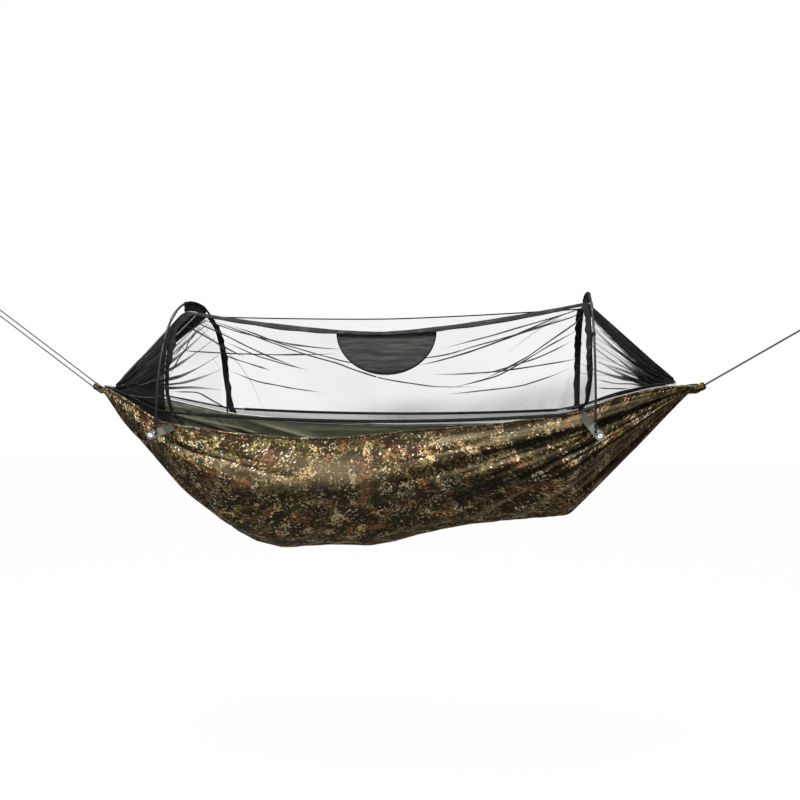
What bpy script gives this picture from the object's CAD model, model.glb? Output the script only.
import math

import bmesh
import bpy
import numpy as np
from mathutils import Matrix, Vector, noise


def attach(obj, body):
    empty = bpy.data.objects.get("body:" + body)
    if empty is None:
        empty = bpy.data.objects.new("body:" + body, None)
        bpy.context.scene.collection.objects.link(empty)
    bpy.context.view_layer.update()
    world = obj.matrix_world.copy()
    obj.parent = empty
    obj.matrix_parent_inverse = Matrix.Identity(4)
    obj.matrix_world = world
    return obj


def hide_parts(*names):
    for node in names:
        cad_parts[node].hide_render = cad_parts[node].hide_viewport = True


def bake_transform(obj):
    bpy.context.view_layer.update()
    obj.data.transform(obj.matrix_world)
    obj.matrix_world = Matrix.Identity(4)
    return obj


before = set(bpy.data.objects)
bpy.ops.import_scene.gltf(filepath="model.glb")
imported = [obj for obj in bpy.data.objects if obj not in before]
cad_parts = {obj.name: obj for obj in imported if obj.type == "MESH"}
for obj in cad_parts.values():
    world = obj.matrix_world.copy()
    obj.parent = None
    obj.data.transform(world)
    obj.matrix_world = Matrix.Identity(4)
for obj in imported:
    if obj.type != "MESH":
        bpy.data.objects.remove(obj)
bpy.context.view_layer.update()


# Viewpoint. The photograph is taken level with the hammock's gathers, three metres from its near side
# and a little towards its foot, with a moderately wide lens.
VIEW_FROM = (2.2885, -3.390, -0.426)
VIEW_TURNS = (math.radians(89.41), 0, math.radians(7.58))
SENSOR_MM = 36.0
LENS_MM = 38.77
camera_data = bpy.data.cameras.new("viewpoint")
camera_data.sensor_width = SENSOR_MM
camera_data.lens = LENS_MM
viewpoint = bpy.data.objects.new("viewpoint", camera_data)
viewpoint.location = VIEW_FROM
viewpoint.rotation_euler = VIEW_TURNS
bpy.context.scene.collection.objects.link(viewpoint)
bpy.context.scene.camera = viewpoint


# Bed. One sheet of thin camouflage nylon, gathered at both ends, so that long folds fan out from the
# gathers. It is printed on the outside only. Its long edges are rolled twice and stitched into hems.
BED_CENTRE = np.array((1.77751, 0, -0.40512))
HALF_SPAN = 1.195
EDGE_HALF_WIDTH = 0.345
GATHER_HALF_WIDTH = 0.021
EDGE_SAG = 0.202
BELLY_DEPTH = 0.648
GATHER_DEPTH = 0.030
BED_WRAP = math.radians(104)
BED_END = 1.1938
BED_ROWS = 157
BED_COLUMNS = 301
ROW_CROWDING = 0.86
HEM_RADIUS = 0.005
FIT_GAP = 0.0003
SHEET_THICKNESS = 0.0012
MAIN_FOLD = 0.013
HEAD_FOLDS = 5
FOOT_FOLDS = 6
FINE_WRINKLE = 0.0026
SHOULDER_STRIP = -0.80
SHOULDER_HEIGHT = 0.034
SLACK_HEIGHT = 0.010
SLACK_RIPPLE = 0.0035
CREASE_SHADE = 170
BELLY_SHADE = 24
EDGE_ROUNDING = 0.035
BELLY_ROUNDING = 0.009
PLAN = ((-1, 0.06), (-0.62, 1), (-0.3, 0.93), (0, 0.9), (0.3, 0.93), (0.62, 1), (1, 0.06))
NEAR_EDGE = (
    (-1, 0), (-0.83, 0.34), (-0.7, 0.68), (-0.6, 0.77), (-0.44, 0.9), (-0.25, 0.99), (-0.12, 1),
    (0.08, 0.87), (0.38, 0.71), (0.6, 0.53), (0.72, 0.26), (0.86, 0.08), (1, 0),
)
FAR_EDGE = (
    (-1, 0), (-0.83, 0.3), (-0.63, 0.64), (-0.37, 0.79), (0, 0.86), (0.38, 0.82), (0.63, 0.57),
    (0.75, 0.34), (0.88, 0.1), (1, 0),
)
BELLY = (
    (-1, 0), (-0.892, 0.232), (-0.75, 0.457), (-0.604, 0.726), (-0.5, 0.892), (-0.43, 0.958),
    (-0.35, 0.986), (-0.05, 0.977), (0.03, 0.944), (0.12, 0.880), (0.2, 0.842), (0.3, 0.806),
    (0.44, 0.786), (0.602, 0.752), (0.66, 0.645), (0.885, 0.210), (1, 0),
)
# Fan folds of each end: end, folds in a radian, height as a share of their width, greatest height
FAN_FOLDS = ((-1, 11.0, 0.24, 0.0064), (1, 20.0, 0.80, 0.016))
# Creases of the near side, seen from the side: two ends, depth, width
NEAR_CREASES = (
    ((-0.800, -0.185), (-0.660, -0.246), 0.020, 0.016),
    ((-0.660, -0.246), (-0.500, -0.283), 0.030, 0.018),
    ((-0.500, -0.283), (-0.290, -0.335), 0.024, 0.022),
    ((-0.640, -0.225), (-0.380, -0.285), 0.010, 0.016),
    ((-0.778, -0.281), (-0.452, -0.421), 0.008, 0.020),
    ((1.150, -0.016), (0.390, -0.272), 0.027, 0.018),
    ((0.390, -0.272), (0.100, -0.340), 0.022, 0.020),
    ((1.100, -0.044), (0.200, -0.410), 0.007, 0.022),
    ((1.080, -0.070), (0.390, -0.442), 0.006, 0.020),
    ((0.743, -0.156), (0.460, -0.268), 0.012, 0.009),
    ((0.965, -0.100), (0.772, -0.160), 0.010, 0.007),
    ((1.169, -0.015), (0.839, -0.183), 0.009, 0.008), ((0.839, -0.183), (0.520, -0.332), 0.012, 0.009),
    ((1.166, -0.032), (0.876, -0.226), 0.008, 0.008), ((0.876, -0.226), (0.576, -0.368), 0.010, 0.009),
    ((1.123, -0.077), (0.839, -0.292), 0.008, 0.007), ((1.180, -0.004), (0.827, -0.135), 0.009, 0.007),
    ((0.671, -0.095), (0.460, -0.179), 0.008, 0.008),
)
# Ridges on the inside of the far side, the same way
FAR_RIDGES = (
    ((-1.050, -0.070), (-0.800, -0.110), 0.016, 0.014), ((-0.800, -0.110), (-0.370, -0.230), 0.020, 0.016),
    ((-0.950, -0.128), (-0.640, -0.206), 0.014, 0.012), ((-1.060, -0.085), (-0.764, -0.194), 0.012, 0.012),
    ((-0.423, -0.186), (0.020, -0.192), 0.010, 0.014), ((0.060, -0.170), (0.500, -0.160), 0.010, 0.014),
)


def ease(share):
    share = np.clip(share, 0, 1)
    return share * share * (3 - 2 * share)


def peak(place, centre, width):
    """A smooth peak of height 1 round a centre."""
    return np.exp(-(((place - centre) / width) ** 2))


def stretch(place, start, rise, stop, fall):
    """1 along a stretch, with an eased rise from its start and an eased fall to its stop."""
    return ease((place - start) / rise) * ease((stop - place) / fall)


def mixed(first, second, share):
    share = np.asarray(share)[..., None]
    return first * (1 - share) + second * share


def points_of(x, y, z):
    return np.stack(np.broadcast_arrays(x, y, z), -1).astype(float)


def unit(vectors):
    return vectors / np.maximum(np.linalg.norm(vectors, axis=-1, keepdims=True), 1e-12)


def read_outline(pairs, places, rounding):
    at, values = np.array(pairs).T
    shifts = rounding * np.array((-1, -0.5, 0, 0.5, 1))
    return np.mean([np.interp(places + shift, at, values) for shift in shifts], axis=0)


def bed_outline(x, strip):
    """Half width, edge height and lowest height of the bed's section at x."""
    place = x / HALF_SPAN
    plan, near, far = (read_outline(pairs, place, EDGE_ROUNDING) for pairs in (PLAN, NEAR_EDGE, FAR_EDGE))
    half = np.maximum(EDGE_HALF_WIDTH * plan, GATHER_HALF_WIDTH)
    low = np.maximum(BELLY_DEPTH * read_outline(BELLY, place, BELLY_ROUNDING), GATHER_DEPTH)
    return half / math.sin(BED_WRAP), -EDGE_SAG * np.where(strip < 0, near, far), -low


def main_folds(x, strip):
    place = x / HALF_SPAN
    head = stretch(place, -1, 0.2, 0, 0.75)
    foot = stretch(place, -0.25, 0.6, 1, 0.2)
    wave = head * np.cos(math.pi * HEAD_FOLDS * strip) + foot * np.cos(math.pi * FOOT_FOLDS * strip)
    return MAIN_FOLD * wave * (1 - strip**4)


def bed_point(x, strip, out=0.0):
    """Points of the sheet at x, where strip runs from -1 at the near edge to 1 at the far one."""
    half, edge, low = bed_outline(x, strip)
    angle = strip * BED_WRAP
    rise = (edge - low) * (1 - np.cos(angle)) / (1 - math.cos(BED_WRAP))
    out = out + main_folds(x, strip)
    return points_of(x, (half + out) * np.sin(angle), low + rise - out * np.cos(angle))


def soft_noise(*places):
    """Smooth noise, about -1 to 1, at arrays of places."""
    stacked = points_of(*places)
    flat = [noise.noise(Vector(p)) for p in stacked.reshape(-1, 3)]
    return 1.6 * np.array(flat).reshape(stacked.shape[:-1])


def rolls(phase):
    """Rounded rolls with a sharp valley at each whole number."""
    return np.abs(np.sin(math.pi * phase)) ** 0.75 - 0.7


def creases(x, strip):
    """How far the sheet's folds lift it, over the main folds."""
    plain = bed_point(x, strip)
    z = plain[..., 2]
    lift = np.zeros(plain.shape[:-1])
    for end, count, share, most in FAN_FOLDS:
        reach = np.hypot(HALF_SPAN - end * x, z)
        angle = np.arctan2(-z, np.maximum(HALF_SPAN - end * x, 1e-6))
        side = np.where(strip < 0, 0.0, 7.3)
        drift = soft_noise(angle * 3.1 + side, reach * 1.3, end * 5.0)
        phase = count * angle + side + 0.55 * drift
        strength = 0.55 + 0.45 * soft_noise(angle * 11 + side, reach * 2.2, end * 9.0)
        fade = ease((0.15 + end * x) / 0.55) * ease((reach - 0.02) / 0.1)
        height = np.minimum(share * reach / count, most)
        lift = lift + rolls(phase) * height * strength * fade * (1 - 0.9 * peak(strip, 0, 0.24))
        fine = soft_noise(angle * 34 + side, reach * 3.5, end * 13.0)
        lift = lift + FINE_WRINKLE * fine * fade * ease(reach / 0.4)
    for side, lines in ((-1, NEAR_CREASES), (1, FAR_RIDGES)):
        for (x0, z0), (x1, z1), depth, width in lines:
            along = np.array((x1 - x0, z1 - z0))
            share = np.clip(((x - x0) * along[0] + (z - z0) * along[1]) / (along @ along), 0, 1)
            away = np.hypot(x - x0 - share * along[0], z - z0 - share * along[1])
            taper = 0.35 + 0.65 * np.sin(math.pi * (0.15 + 0.7 * share))
            pressed = depth * (1.25 + 0.25 * side) * taper * np.exp(-away / width)
            lift = lift - ease(side * strip / 0.2) * pressed
    shoulder = peak(strip, SHOULDER_STRIP, 0.13) * stretch(x, -0.80, 0.35, 0.75, 0.7)
    slack = SLACK_HEIGHT * soft_noise(x * 2.3, strip * 2.1, 3.0)
    slack = slack + SLACK_RIPPLE * soft_noise(x * 6, strip * 5, 8.0)
    lift = lift + SHOULDER_HEIGHT * shoulder + slack * ease((1.0 - np.abs(x)) / 0.35)
    return lift * (1 - strip**8) * ease((HALF_SPAN - np.abs(x)) / 0.08)


def fan_streaks(x, z, strip):
    """Thin dark and light lines that fan out from the foot gather, about -1 to 1."""
    reach = np.hypot(HALF_SPAN - x, z)
    angle = np.arctan2(-z, np.maximum(HALF_SPAN - x, 1e-6))
    lines = soft_noise(angle * 34, reach * 1.7, 21.0) + 0.5 * soft_noise(angle * 70, reach * 3.0, 33.0)
    lines = lines + 0.7 * soft_noise(angle * 15, reach * 1.1, 57.0)
    floor = peak(strip, 0, 0.28)
    lines = lines * (1 - floor) + soft_noise(strip * 13, reach * 1.7, 45.0) * floor
    return lines * 0.85 * ease((x + 0.05) / 0.55)


def rubbed_pale(x, strip):
    """Where the print is rubbed paler: along the near shoulder, and below the near hem to the foot."""
    shoulder = peak(strip, SHOULDER_STRIP, 0.11) * stretch(x, -0.72, 0.3, 0.35, 0.5)
    hem = peak(strip, -0.93, 0.05) * stretch(x, -0.1, 0.4, 1.12, 0.2)
    return 0.75 * (shoulder + hem) * (0.75 + 0.4 * soft_noise(x * 3.5, strip * 7, 51.0))


# Edges sharper than this many degrees show: on hard pieces, on small mouldings, and never on soft ones
HARD_EDGE = 45
FINE_EDGE = 35
SOFT_EDGE = 180
SAME_POINT = 0.000001


class Shape:
    """Collects the points, faces and flat coordinates of one piece, then makes its mesh."""

    def __init__(self):
        self.points = []
        self.faces = []
        self.flats = []
        self.parts = []
        self.values = {}
        self.count = 0

    def grid(self, points, flat=None, wrap=False, part=0, **values):
        """A sheet of faces through rows of points; wrap closes each row on itself."""
        rows, columns = points.shape[:2]
        index = self.count + np.arange(rows * columns).reshape(rows, columns)
        self.points.append(points.reshape(-1, 3))
        self.count += rows * columns
        for name, value in values.items():
            self.values.setdefault(name, []).append(np.broadcast_to(value, (rows, columns)).ravel())
        corners = np.concatenate([index, index[:, :1]], axis=1) if wrap else index
        if flat is None:
            flat = np.zeros((*corners.shape, 2))
        self._add(corners, self.faces)
        self._add(flat, self.flats)
        self.parts += [part] * ((corners.shape[0] - 1) * (corners.shape[1] - 1))
        return index

    @staticmethod
    def _add(corners, store):
        four = [corners[:-1, :-1], corners[:-1, 1:], corners[1:, 1:], corners[1:, :-1]]
        store.extend(np.stack(four, axis=2).reshape(-1, 4, *corners.shape[2:]).tolist())

    def bridge(self, first, second, part=0, wrap=False):
        """Faces between two rows of points that are already there."""
        rows = np.stack([first, second])
        if wrap:
            rows = np.concatenate([rows, rows[:, :1]], axis=1)
        self._add(rows, self.faces)
        self._add(np.zeros((*rows.shape, 2)), self.flats)
        self.parts += [part] * (rows.shape[1] - 1)

    def cap(self, row, part=0):
        self.faces.append([int(i) for i in row])
        self.flats.append([(0.0, 0.0)] * len(row))
        self.parts.append(part)

    def tube(self, rings, flat=None, part=0, **values):
        """Closed rings of points with a cap on the first and the last."""
        index = self.grid(rings, flat, wrap=True, part=part, **values)
        self.cap(index[0], part)
        self.cap(index[-1], part)

    def rod(self, path, outline, up=(0, 0, 1), size=1.0, mapped=False, **values):
        """A closed tube of one outline along a path; mapped gives it flat coordinates."""
        rings = rings_along(path, outline, up, size)
        self.tube(rings, tube_flat(path, rings.shape[1]) if mapped else None, **values)

    def sleeve(self, outside, inside, flat=None):
        """A tube with a bore, open at both ends."""
        outer, inner = self.grid(outside, flat, wrap=True), self.grid(inside, flat, wrap=True)
        for row in (0, -1):
            self.bridge(outer[row], inner[row], wrap=True)

    def rim(self, first, second, part=0):
        """Joins the edges of two grids of points, which face each other."""
        for one, other in ((first, second), (first.T, second.T)):
            for row in (0, -1):
                self.bridge(one[row], other[row], part)

    def make(self, name, finishes, body, nodes=(), slot=None, sharp=HARD_EDGE, blend=None):
        """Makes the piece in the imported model's frame, and says what it rides on and stands for."""
        mesh = bpy.data.meshes.new(name)
        mesh.from_pydata((np.concatenate(self.points) + BED_CENTRE).tolist(), [], self.faces)
        layer = mesh.uv_layers.new(name="flat")
        layer.data.foreach_set("uv", np.array([c for face in self.flats for c in face], np.float32).ravel())
        mesh.polygons.foreach_set("material_index", np.array(self.parts, np.int32))
        for key, value in self.values.items():
            held = mesh.attributes.new(key, "FLOAT", "POINT")
            held.data.foreach_set("value", np.concatenate(value).astype(np.float32))
        bm = bmesh.new()
        bm.from_mesh(mesh)
        bmesh.ops.remove_doubles(bm, verts=bm.verts, dist=SAME_POINT)
        bmesh.ops.recalc_face_normals(bm, faces=bm.faces)
        bm.to_mesh(mesh)
        bm.free()
        mesh.shade_smooth()
        mesh.set_sharp_from_angle(angle=math.radians(sharp))
        return placed(name, mesh, finishes, body, nodes, blend)


def placed(name, mesh, finishes, body, nodes=(), blend=None):
    for finish in finishes if isinstance(finishes, (list, tuple)) else [finishes]:
        mesh.materials.append(finish)
    piece = bpy.data.objects.new(name, mesh)
    bpy.context.scene.collection.objects.link(piece)
    if blend:
        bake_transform(piece)
    else:
        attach(piece, body)
    if nodes:
        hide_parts(*nodes)
    return piece


class Signal:
    """One shader socket. Arithmetic on it adds the Math nodes that it needs."""

    def __init__(self, finish, socket):
        self.finish = finish
        self.socket = socket

    def maths(self, operation, first, second=0.0):
        return self.finish.node("Math", {"operation": operation}, {0: first, 1: second})

    def __add__(self, other):
        return self.maths("ADD", self, other)

    __radd__ = __add__

    def __mul__(self, other):
        return self.maths("MULTIPLY", self, other)

    __rmul__ = __mul__

    def __sub__(self, other):
        return self.maths("SUBTRACT", self, other)

    def __rsub__(self, other):
        return self.maths("SUBTRACT", other, self)

    def sine(self):
        return self.maths("SINE", self)

    def most(self, other):
        return self.maths("MAXIMUM", self, other)

    def least(self, other):
        return self.maths("MINIMUM", self, other)

    def between(self, low, high, start=0.0, stop=1.0):
        """Rises smoothly from start to stop as the signal goes from low to high."""
        values = {"Value": self, "From Min": low, "From Max": high, "To Min": start, "To Max": stop}
        return self.finish.node("MapRange", {"interpolation_type": "SMOOTHSTEP"}, values)


class Finish:
    """A material that is built node by node on its Principled shader."""

    def __init__(self, name, **sockets):
        self.material = bpy.data.materials.new(name)
        self.material.use_nodes = True
        self.tree = self.material.node_tree
        self.shader = self.tree.nodes["Principled BSDF"]
        for key, value in sockets.items():
            self.shader.inputs[key.replace("_", " ")].default_value = value

    def feed(self, socket, value):
        if isinstance(value, Signal):
            self.tree.links.new(value.socket, socket)
        else:
            socket.default_value = value

    def node(self, kind, settings=None, values=None, output=0):
        made = self.tree.nodes.new("ShaderNode" + kind)
        for key, value in (settings or {}).items():
            setattr(made, key, value)
        for key, value in (values or {}).items():
            self.feed(made.inputs[key], value)
        return Signal(self, made.outputs[output])

    def place(self):
        return self.node("TexCoord", output="Object")

    def flat(self):
        return self.node("UVMap", {"uv_map": "flat"})

    def attribute(self, name):
        return self.node("Attribute", {"attribute_name": name}, output="Fac")

    def split(self, vector):
        parts = self.node("SeparateXYZ", values={0: vector})
        return [Signal(self, socket) for socket in parts.socket.node.outputs]

    def join(self, x, y, z=0.0):
        return self.node("CombineXYZ", values={0: x, 1: y, 2: z})

    def stretched(self, vector, x, y, z=1.0, shift=(0, 0, 0)):
        return self.node("Mapping", values={"Vector": vector, "Scale": (x, y, z), "Location": shift})

    def noise(self, vector, scale, detail=2.0, roughness=0.5):
        values = {"Vector": vector, "Scale": scale, "Detail": detail, "Roughness": roughness}
        return self.node("TexNoise", values=values)

    def mix(self, share, first, second):
        first = (*first, 1) if isinstance(first, tuple) else first
        second = (*second, 1) if isinstance(second, tuple) else second
        return self.node("Mix", {"data_type": "RGBA"}, {0: share, 6: first, 7: second}, output=2)

    def bump(self, height, distance, strength=1.0):
        values = {"Height": height, "Distance": distance, "Strength": strength}
        self.feed(self.shader.inputs["Normal"], self.node("Bump", values=values))

    def show(self, **signals):
        for key, value in signals.items():
            self.feed(self.shader.inputs[key.replace("_", " ")], value)
        return self.material


DARK_BROWN = (0.034, 0.019, 0.007)
LEAF_GREEN = (0.036, 0.031, 0.010)
OLIVE = (0.195, 0.150, 0.050)
GREEN = (0.078, 0.092, 0.028)
RUST = (0.270, 0.105, 0.040)
TAN = (0.650, 0.460, 0.215)
CREAM = (0.840, 0.720, 0.530)
FOLD_SHADOW = (0.009, 0.006, 0.003)
FOLD_SHEEN = (0.400, 0.325, 0.195)
# Layers of print: ink, fleck scale, cluster scale, where clusters begin, share of flecks in a cluster
PRINT_LAYERS = (
    (OLIVE, 135.0, 14.0, 0.50, 0.45), (GREEN, 145.0, 12.0, 0.56, 0.42), (RUST, 155.0, 14.0, 0.54, 0.42),
    (TAN, 155.0, 15.0, 0.54, 0.36), (CREAM, 190.0, 14.0, 0.54, 0.15),
)
BACKING_OLIVE = (0.085, 0.088, 0.055)
BACKING_PALE = (0.115, 0.118, 0.074)
BACKING_STREAK = (0.210, 0.215, 0.150)
BACKING_SHADOW = (0.022, 0.024, 0.014)
BACKING_SHEEN = (0.380, 0.380, 0.235)


def camouflage_finish():
    """Printed nylon: a dark brown ground under loose clusters of small worm-shaped flecks."""
    look = Finish("printed_nylon", Roughness=0.5, Specular_IOR_Level=0.12)
    flat = look.flat()
    wander = {"Vector": flat, "Scale": 110.0, "Detail": 2.0}
    warp = look.node("TexNoise", {"noise_dimensions": "2D"}, wander, output=1)
    bent = look.node("VectorMath", {"operation": "MULTIPLY_ADD"}, {0: warp, 1: (0.014, 0.014, 0), 2: flat})
    colour = look.mix(look.noise(flat, 9.0, 3.0).between(0.48, 0.56), DARK_BROWN, LEAF_GREEN)
    for step, (ink, fleck_scale, cluster_scale, edge, density) in enumerate(PRINT_LAYERS):
        shifted = look.stretched(bent, 1, 1.35, shift=(0.37 * step, 0.53 * step, 0))
        flecks = {"Vector": shifted, "Scale": fleck_scale}
        cells = look.node("TexVoronoi", {"distance": "MANHATTAN"}, flecks, output=1)
        chance = look.split(cells)[step % 3]
        cluster = look.noise(look.stretched(flat, 1, 1, shift=(2.1 * step, 0, 0)), cluster_scale, 2.0)
        limit = 0.975 - cluster.between(edge - 0.02, edge + 0.12) * density
        colour = look.mix((chance - limit).between(0.0, 0.02), colour, ink)
    fading = look.noise(flat, 3.0, 3.0)
    patches = look.noise(flat, 6.0, 2.0).between(0.38, 0.62, 0.25, 1.0)
    crush = look.noise(look.stretched(flat, 8, 46), 1.0, 4.0, 0.55)
    look.bump(crush * patches, 0.0065, 0.9)
    deep = look.attribute("valley").between(0.03, 0.65, 0.0, 0.88)
    lit = look.attribute("valley").between(-0.9, -0.1, 0.36, 0.0)
    colour = look.mix(lit, look.mix(deep, colour, FOLD_SHADOW), FOLD_SHEEN)
    return look.show(Base_Color=colour, Roughness=0.42 + 0.16 * fading)


def backing_finish():
    """The nylon's unprinted inside: plain dark olive, with soft streaks along its folds."""
    look = Finish("plain_nylon_inside", Sheen_Weight=0.2, Sheen_Roughness=0.4)
    flat = look.flat()
    streaks = look.noise(look.stretched(flat, 1.5, 42), 1.0, 3.0)
    blotches = look.noise(flat, 14.0, 3.0)
    shade = look.mix(blotches.between(0.3, 0.7), BACKING_OLIVE, BACKING_PALE)
    colour = look.mix(streaks.between(0.5, 0.75), shade, BACKING_STREAK)
    deep = look.attribute("valley").between(-0.6, -0.04, 0.85, 0.0)
    lit = look.attribute("valley").between(0.05, 0.55, 0.0, 0.85)
    colour = look.mix(lit, look.mix(deep, colour, BACKING_SHADOW), BACKING_SHEEN)
    look.bump(look.noise(look.stretched(flat, 30, 180), 1.0, 2.0), 0.0015, 0.6)
    return look.show(Base_Color=colour, Roughness=0.45 + 0.2 * blotches)


def sheet_layers(shape, points, flat, thickness, outside, parts=(0, 0), **values):
    """A closed thin sheet over a grid of points; outside points away from its inner face."""
    along = np.gradient(points, axis=0)
    across = np.gradient(points, axis=1)
    normal = unit(np.cross(along, across))
    normal *= np.sign(np.sum(normal * outside, axis=-1, keepdims=True) + 1e-12)
    outer = shape.grid(points + normal * thickness / 2, flat, part=parts[0], **values)
    inner = shape.grid(points - normal * thickness / 2, flat, part=parts[1], **values)
    shape.rim(outer, inner, parts[0])


def girth(points):
    """Distance along each row of points from its middle."""
    steps = np.linalg.norm(np.diff(points, axis=1), axis=-1)
    far = np.concatenate([np.zeros((len(points), 1)), np.cumsum(steps, axis=1)], axis=1)
    return far - far[:, far.shape[1] // 2, None]


def flat_of(points):
    """Flat coordinates in metres: how far from the gathers, and how far round from the lowest line."""
    x = points[..., 0]
    head, foot = (np.hypot(HALF_SPAN - end * x, points[..., 2]) for end in (-1, 1))
    along = mixed((head - 1.3)[..., None], (1.3 - foot)[..., None], ease((x + 0.5) / 1.0))[..., 0]
    return np.stack([along, girth(points)], axis=-1)


printed_nylon = camouflage_finish()
plain_nylon = backing_finish()
bed_x = np.sin(np.linspace(-1, 1, BED_ROWS) * math.pi / 2 * ROW_CROWDING)
bed_x, bed_strip = np.meshgrid(bed_x / bed_x[-1] * BED_END, np.linspace(-1, 1, BED_COLUMNS), indexing="ij")
bed_lift = creases(bed_x, bed_strip)
bed_points = bed_point(bed_x, bed_strip, bed_lift)
bed_valley = CREASE_SHADE * np.gradient(np.gradient(bed_lift, axis=1), axis=1)
bed_valley += fan_streaks(bed_x, bed_points[..., 2], bed_strip) - rubbed_pale(bed_x, bed_strip)
bed_valley -= BELLY_SHADE * bed_lift * ease(bed_strip / 0.25)
bed_angle = bed_strip * BED_WRAP
bed_sheet = Shape()
sheet_layers(
    bed_sheet, bed_points, flat_of(bed_point(bed_x, bed_strip)), SHEET_THICKNESS,
    points_of(0, np.sin(bed_angle), -np.cos(bed_angle)), parts=(0, 1), valley=np.clip(bed_valley, -1, 1),
)
both_faces = (printed_nylon, plain_nylon)
bed = bed_sheet.make("bed_sheet", both_faces, "hammock", ["hammock_bed"], "camouflage_nylon")


def hem_centre(x, side):
    """Centre line of the rolled hem, just above the sheet's cut edge."""
    edge = bed_point(x, np.full_like(x, side))
    below = bed_point(x, np.full_like(x, side * 0.98))
    return edge + unit(edge - below) * (HEM_RADIUS + FIT_GAP)


def rings_along(path, outline, up=(0, 0, 1), size=1.0):
    """Rings of an outline of (sideways, upward) offsets, square to a path."""
    path = np.asarray(path, float)
    ahead = unit(np.gradient(path, axis=0))
    over = np.empty_like(ahead)
    last = np.array(up, float)
    for i, forward in enumerate(ahead):
        last = unit(last - forward * (last @ forward))
        over[i] = last
    aside = np.cross(ahead, over)
    size = np.broadcast_to(np.asarray(size, float), (len(path),))[:, None, None]
    outline = np.asarray(outline, float)
    if outline.ndim == 2:
        outline = np.broadcast_to(outline, (len(path), *outline.shape))
    spread = outline * size
    return path[:, None] + aside[:, None] * spread[..., :1] + over[:, None] * spread[..., 1:]


def round_outline(radius, count, flatten=1.0):
    turns = np.arange(count) * 2 * math.pi / count
    return np.stack([radius * np.cos(turns), radius * flatten * np.sin(turns)], axis=-1)


def lengths_along(path):
    """How far along a path each of its points is."""
    return np.concatenate([[0], np.cumsum(np.linalg.norm(np.diff(path, axis=0), axis=1))])


def tube_flat(path, count):
    return np.stack(np.meshgrid(lengths_along(path), np.linspace(0, 1, count + 1), indexing="ij"), axis=-1)


LINE_SIZES = ("Step", "Length", "Width", "Height")


def line_tree(name, finish):
    """Puts a small rounded body at every step along a line: stitches, or a zip's coil."""
    tree = bpy.data.node_groups.new(name, "GeometryNodeTree")
    face = tree.interface
    face.new_socket("Line", in_out="INPUT", socket_type="NodeSocketGeometry")
    for size in LINE_SIZES:
        face.new_socket(size, in_out="INPUT", socket_type="NodeSocketFloat")
    face.new_socket("Pieces", in_out="OUTPUT", socket_type="NodeSocketGeometry")
    kinds = {
        "start": "NodeGroupInput", "curve": "GeometryNodeMeshToCurve", "spots": "GeometryNodeCurveToPoints",
        "ball": "GeometryNodeMeshUVSphere", "turn": "FunctionNodeAlignRotationToVector",
        "size": "ShaderNodeCombineXYZ", "each": "GeometryNodeInstanceOnPoints",
        "real": "GeometryNodeRealizeInstances", "smooth": "GeometryNodeSetShadeSmooth",
        "paint": "GeometryNodeSetMaterial", "end": "NodeGroupOutput",
    }
    nodes = {key: tree.nodes.new(kind) for key, kind in kinds.items()}
    nodes["spots"].mode = "LENGTH"
    nodes["turn"].axis = "X"
    nodes["ball"].inputs["Segments"].default_value = 6
    nodes["ball"].inputs["Rings"].default_value = 4
    nodes["ball"].inputs["Radius"].default_value = 0.5
    nodes["paint"].inputs["Material"].default_value = finish
    links = (
        ("start", "Line", "curve", "Mesh"), ("curve", 0, "spots", "Curve"),
        ("start", "Step", "spots", "Length"), ("spots", "Tangent", "turn", "Vector"),
        ("start", "Length", "size", 0), ("start", "Width", "size", 1), ("start", "Height", "size", 2),
        ("spots", "Points", "each", "Points"), ("ball", 0, "each", "Instance"),
        ("turn", 0, "each", "Rotation"), ("size", 0, "each", "Scale"), ("each", 0, "real", 0),
        ("real", 0, "smooth", 0), ("smooth", 0, "paint", 0), ("paint", 0, "end", 0),
    )
    for first, out, second, into in links:
        tree.links.new(nodes[first].outputs[out], nodes[second].inputs[into])
    return tree


def along_lines(name, lines, tree, sizes, finish):
    """Runs a line tree over lines of points and keeps its result as one plain piece on the hammock."""
    base = bpy.data.meshes.new(name + "_lines")
    points = [tuple(p) for line in lines for p in np.asarray(line) + BED_CENTRE]
    edges = []
    first = 0
    for line in lines:
        edges += [(first + i, first + i + 1) for i in range(len(line) - 1)]
        first += len(line)
    base.from_pydata(points, edges, [])
    maker = bpy.data.objects.new(name + "_maker", base)
    bpy.context.scene.collection.objects.link(maker)
    modifier = maker.modifiers.new("pieces", "NODES")
    modifier.node_group = tree
    for item in tree.interface.items_tree:
        if item.name in LINE_SIZES:
            modifier[item.identifier] = sizes[LINE_SIZES.index(item.name)]
    seen = maker.evaluated_get(bpy.context.evaluated_depsgraph_get())
    mesh = bpy.data.meshes.new_from_object(seen)
    bpy.data.objects.remove(maker, do_unlink=True)
    mesh.materials.clear()
    return placed(name, mesh, finish, "hammock")


def thread_finish(name, colour):
    look = Finish(name, Roughness=0.7, Sheen_Weight=0.3)
    twist = look.node("TexNoise", values={"Vector": look.place(), "Scale": 900.0, "Detail": 1.0})
    look.bump(twist, 0.0002, 0.6)
    dull = tuple(c * 0.6 for c in colour)
    return look.show(Base_Color=look.mix(twist.between(0.3, 0.7), dull, colour))


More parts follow.
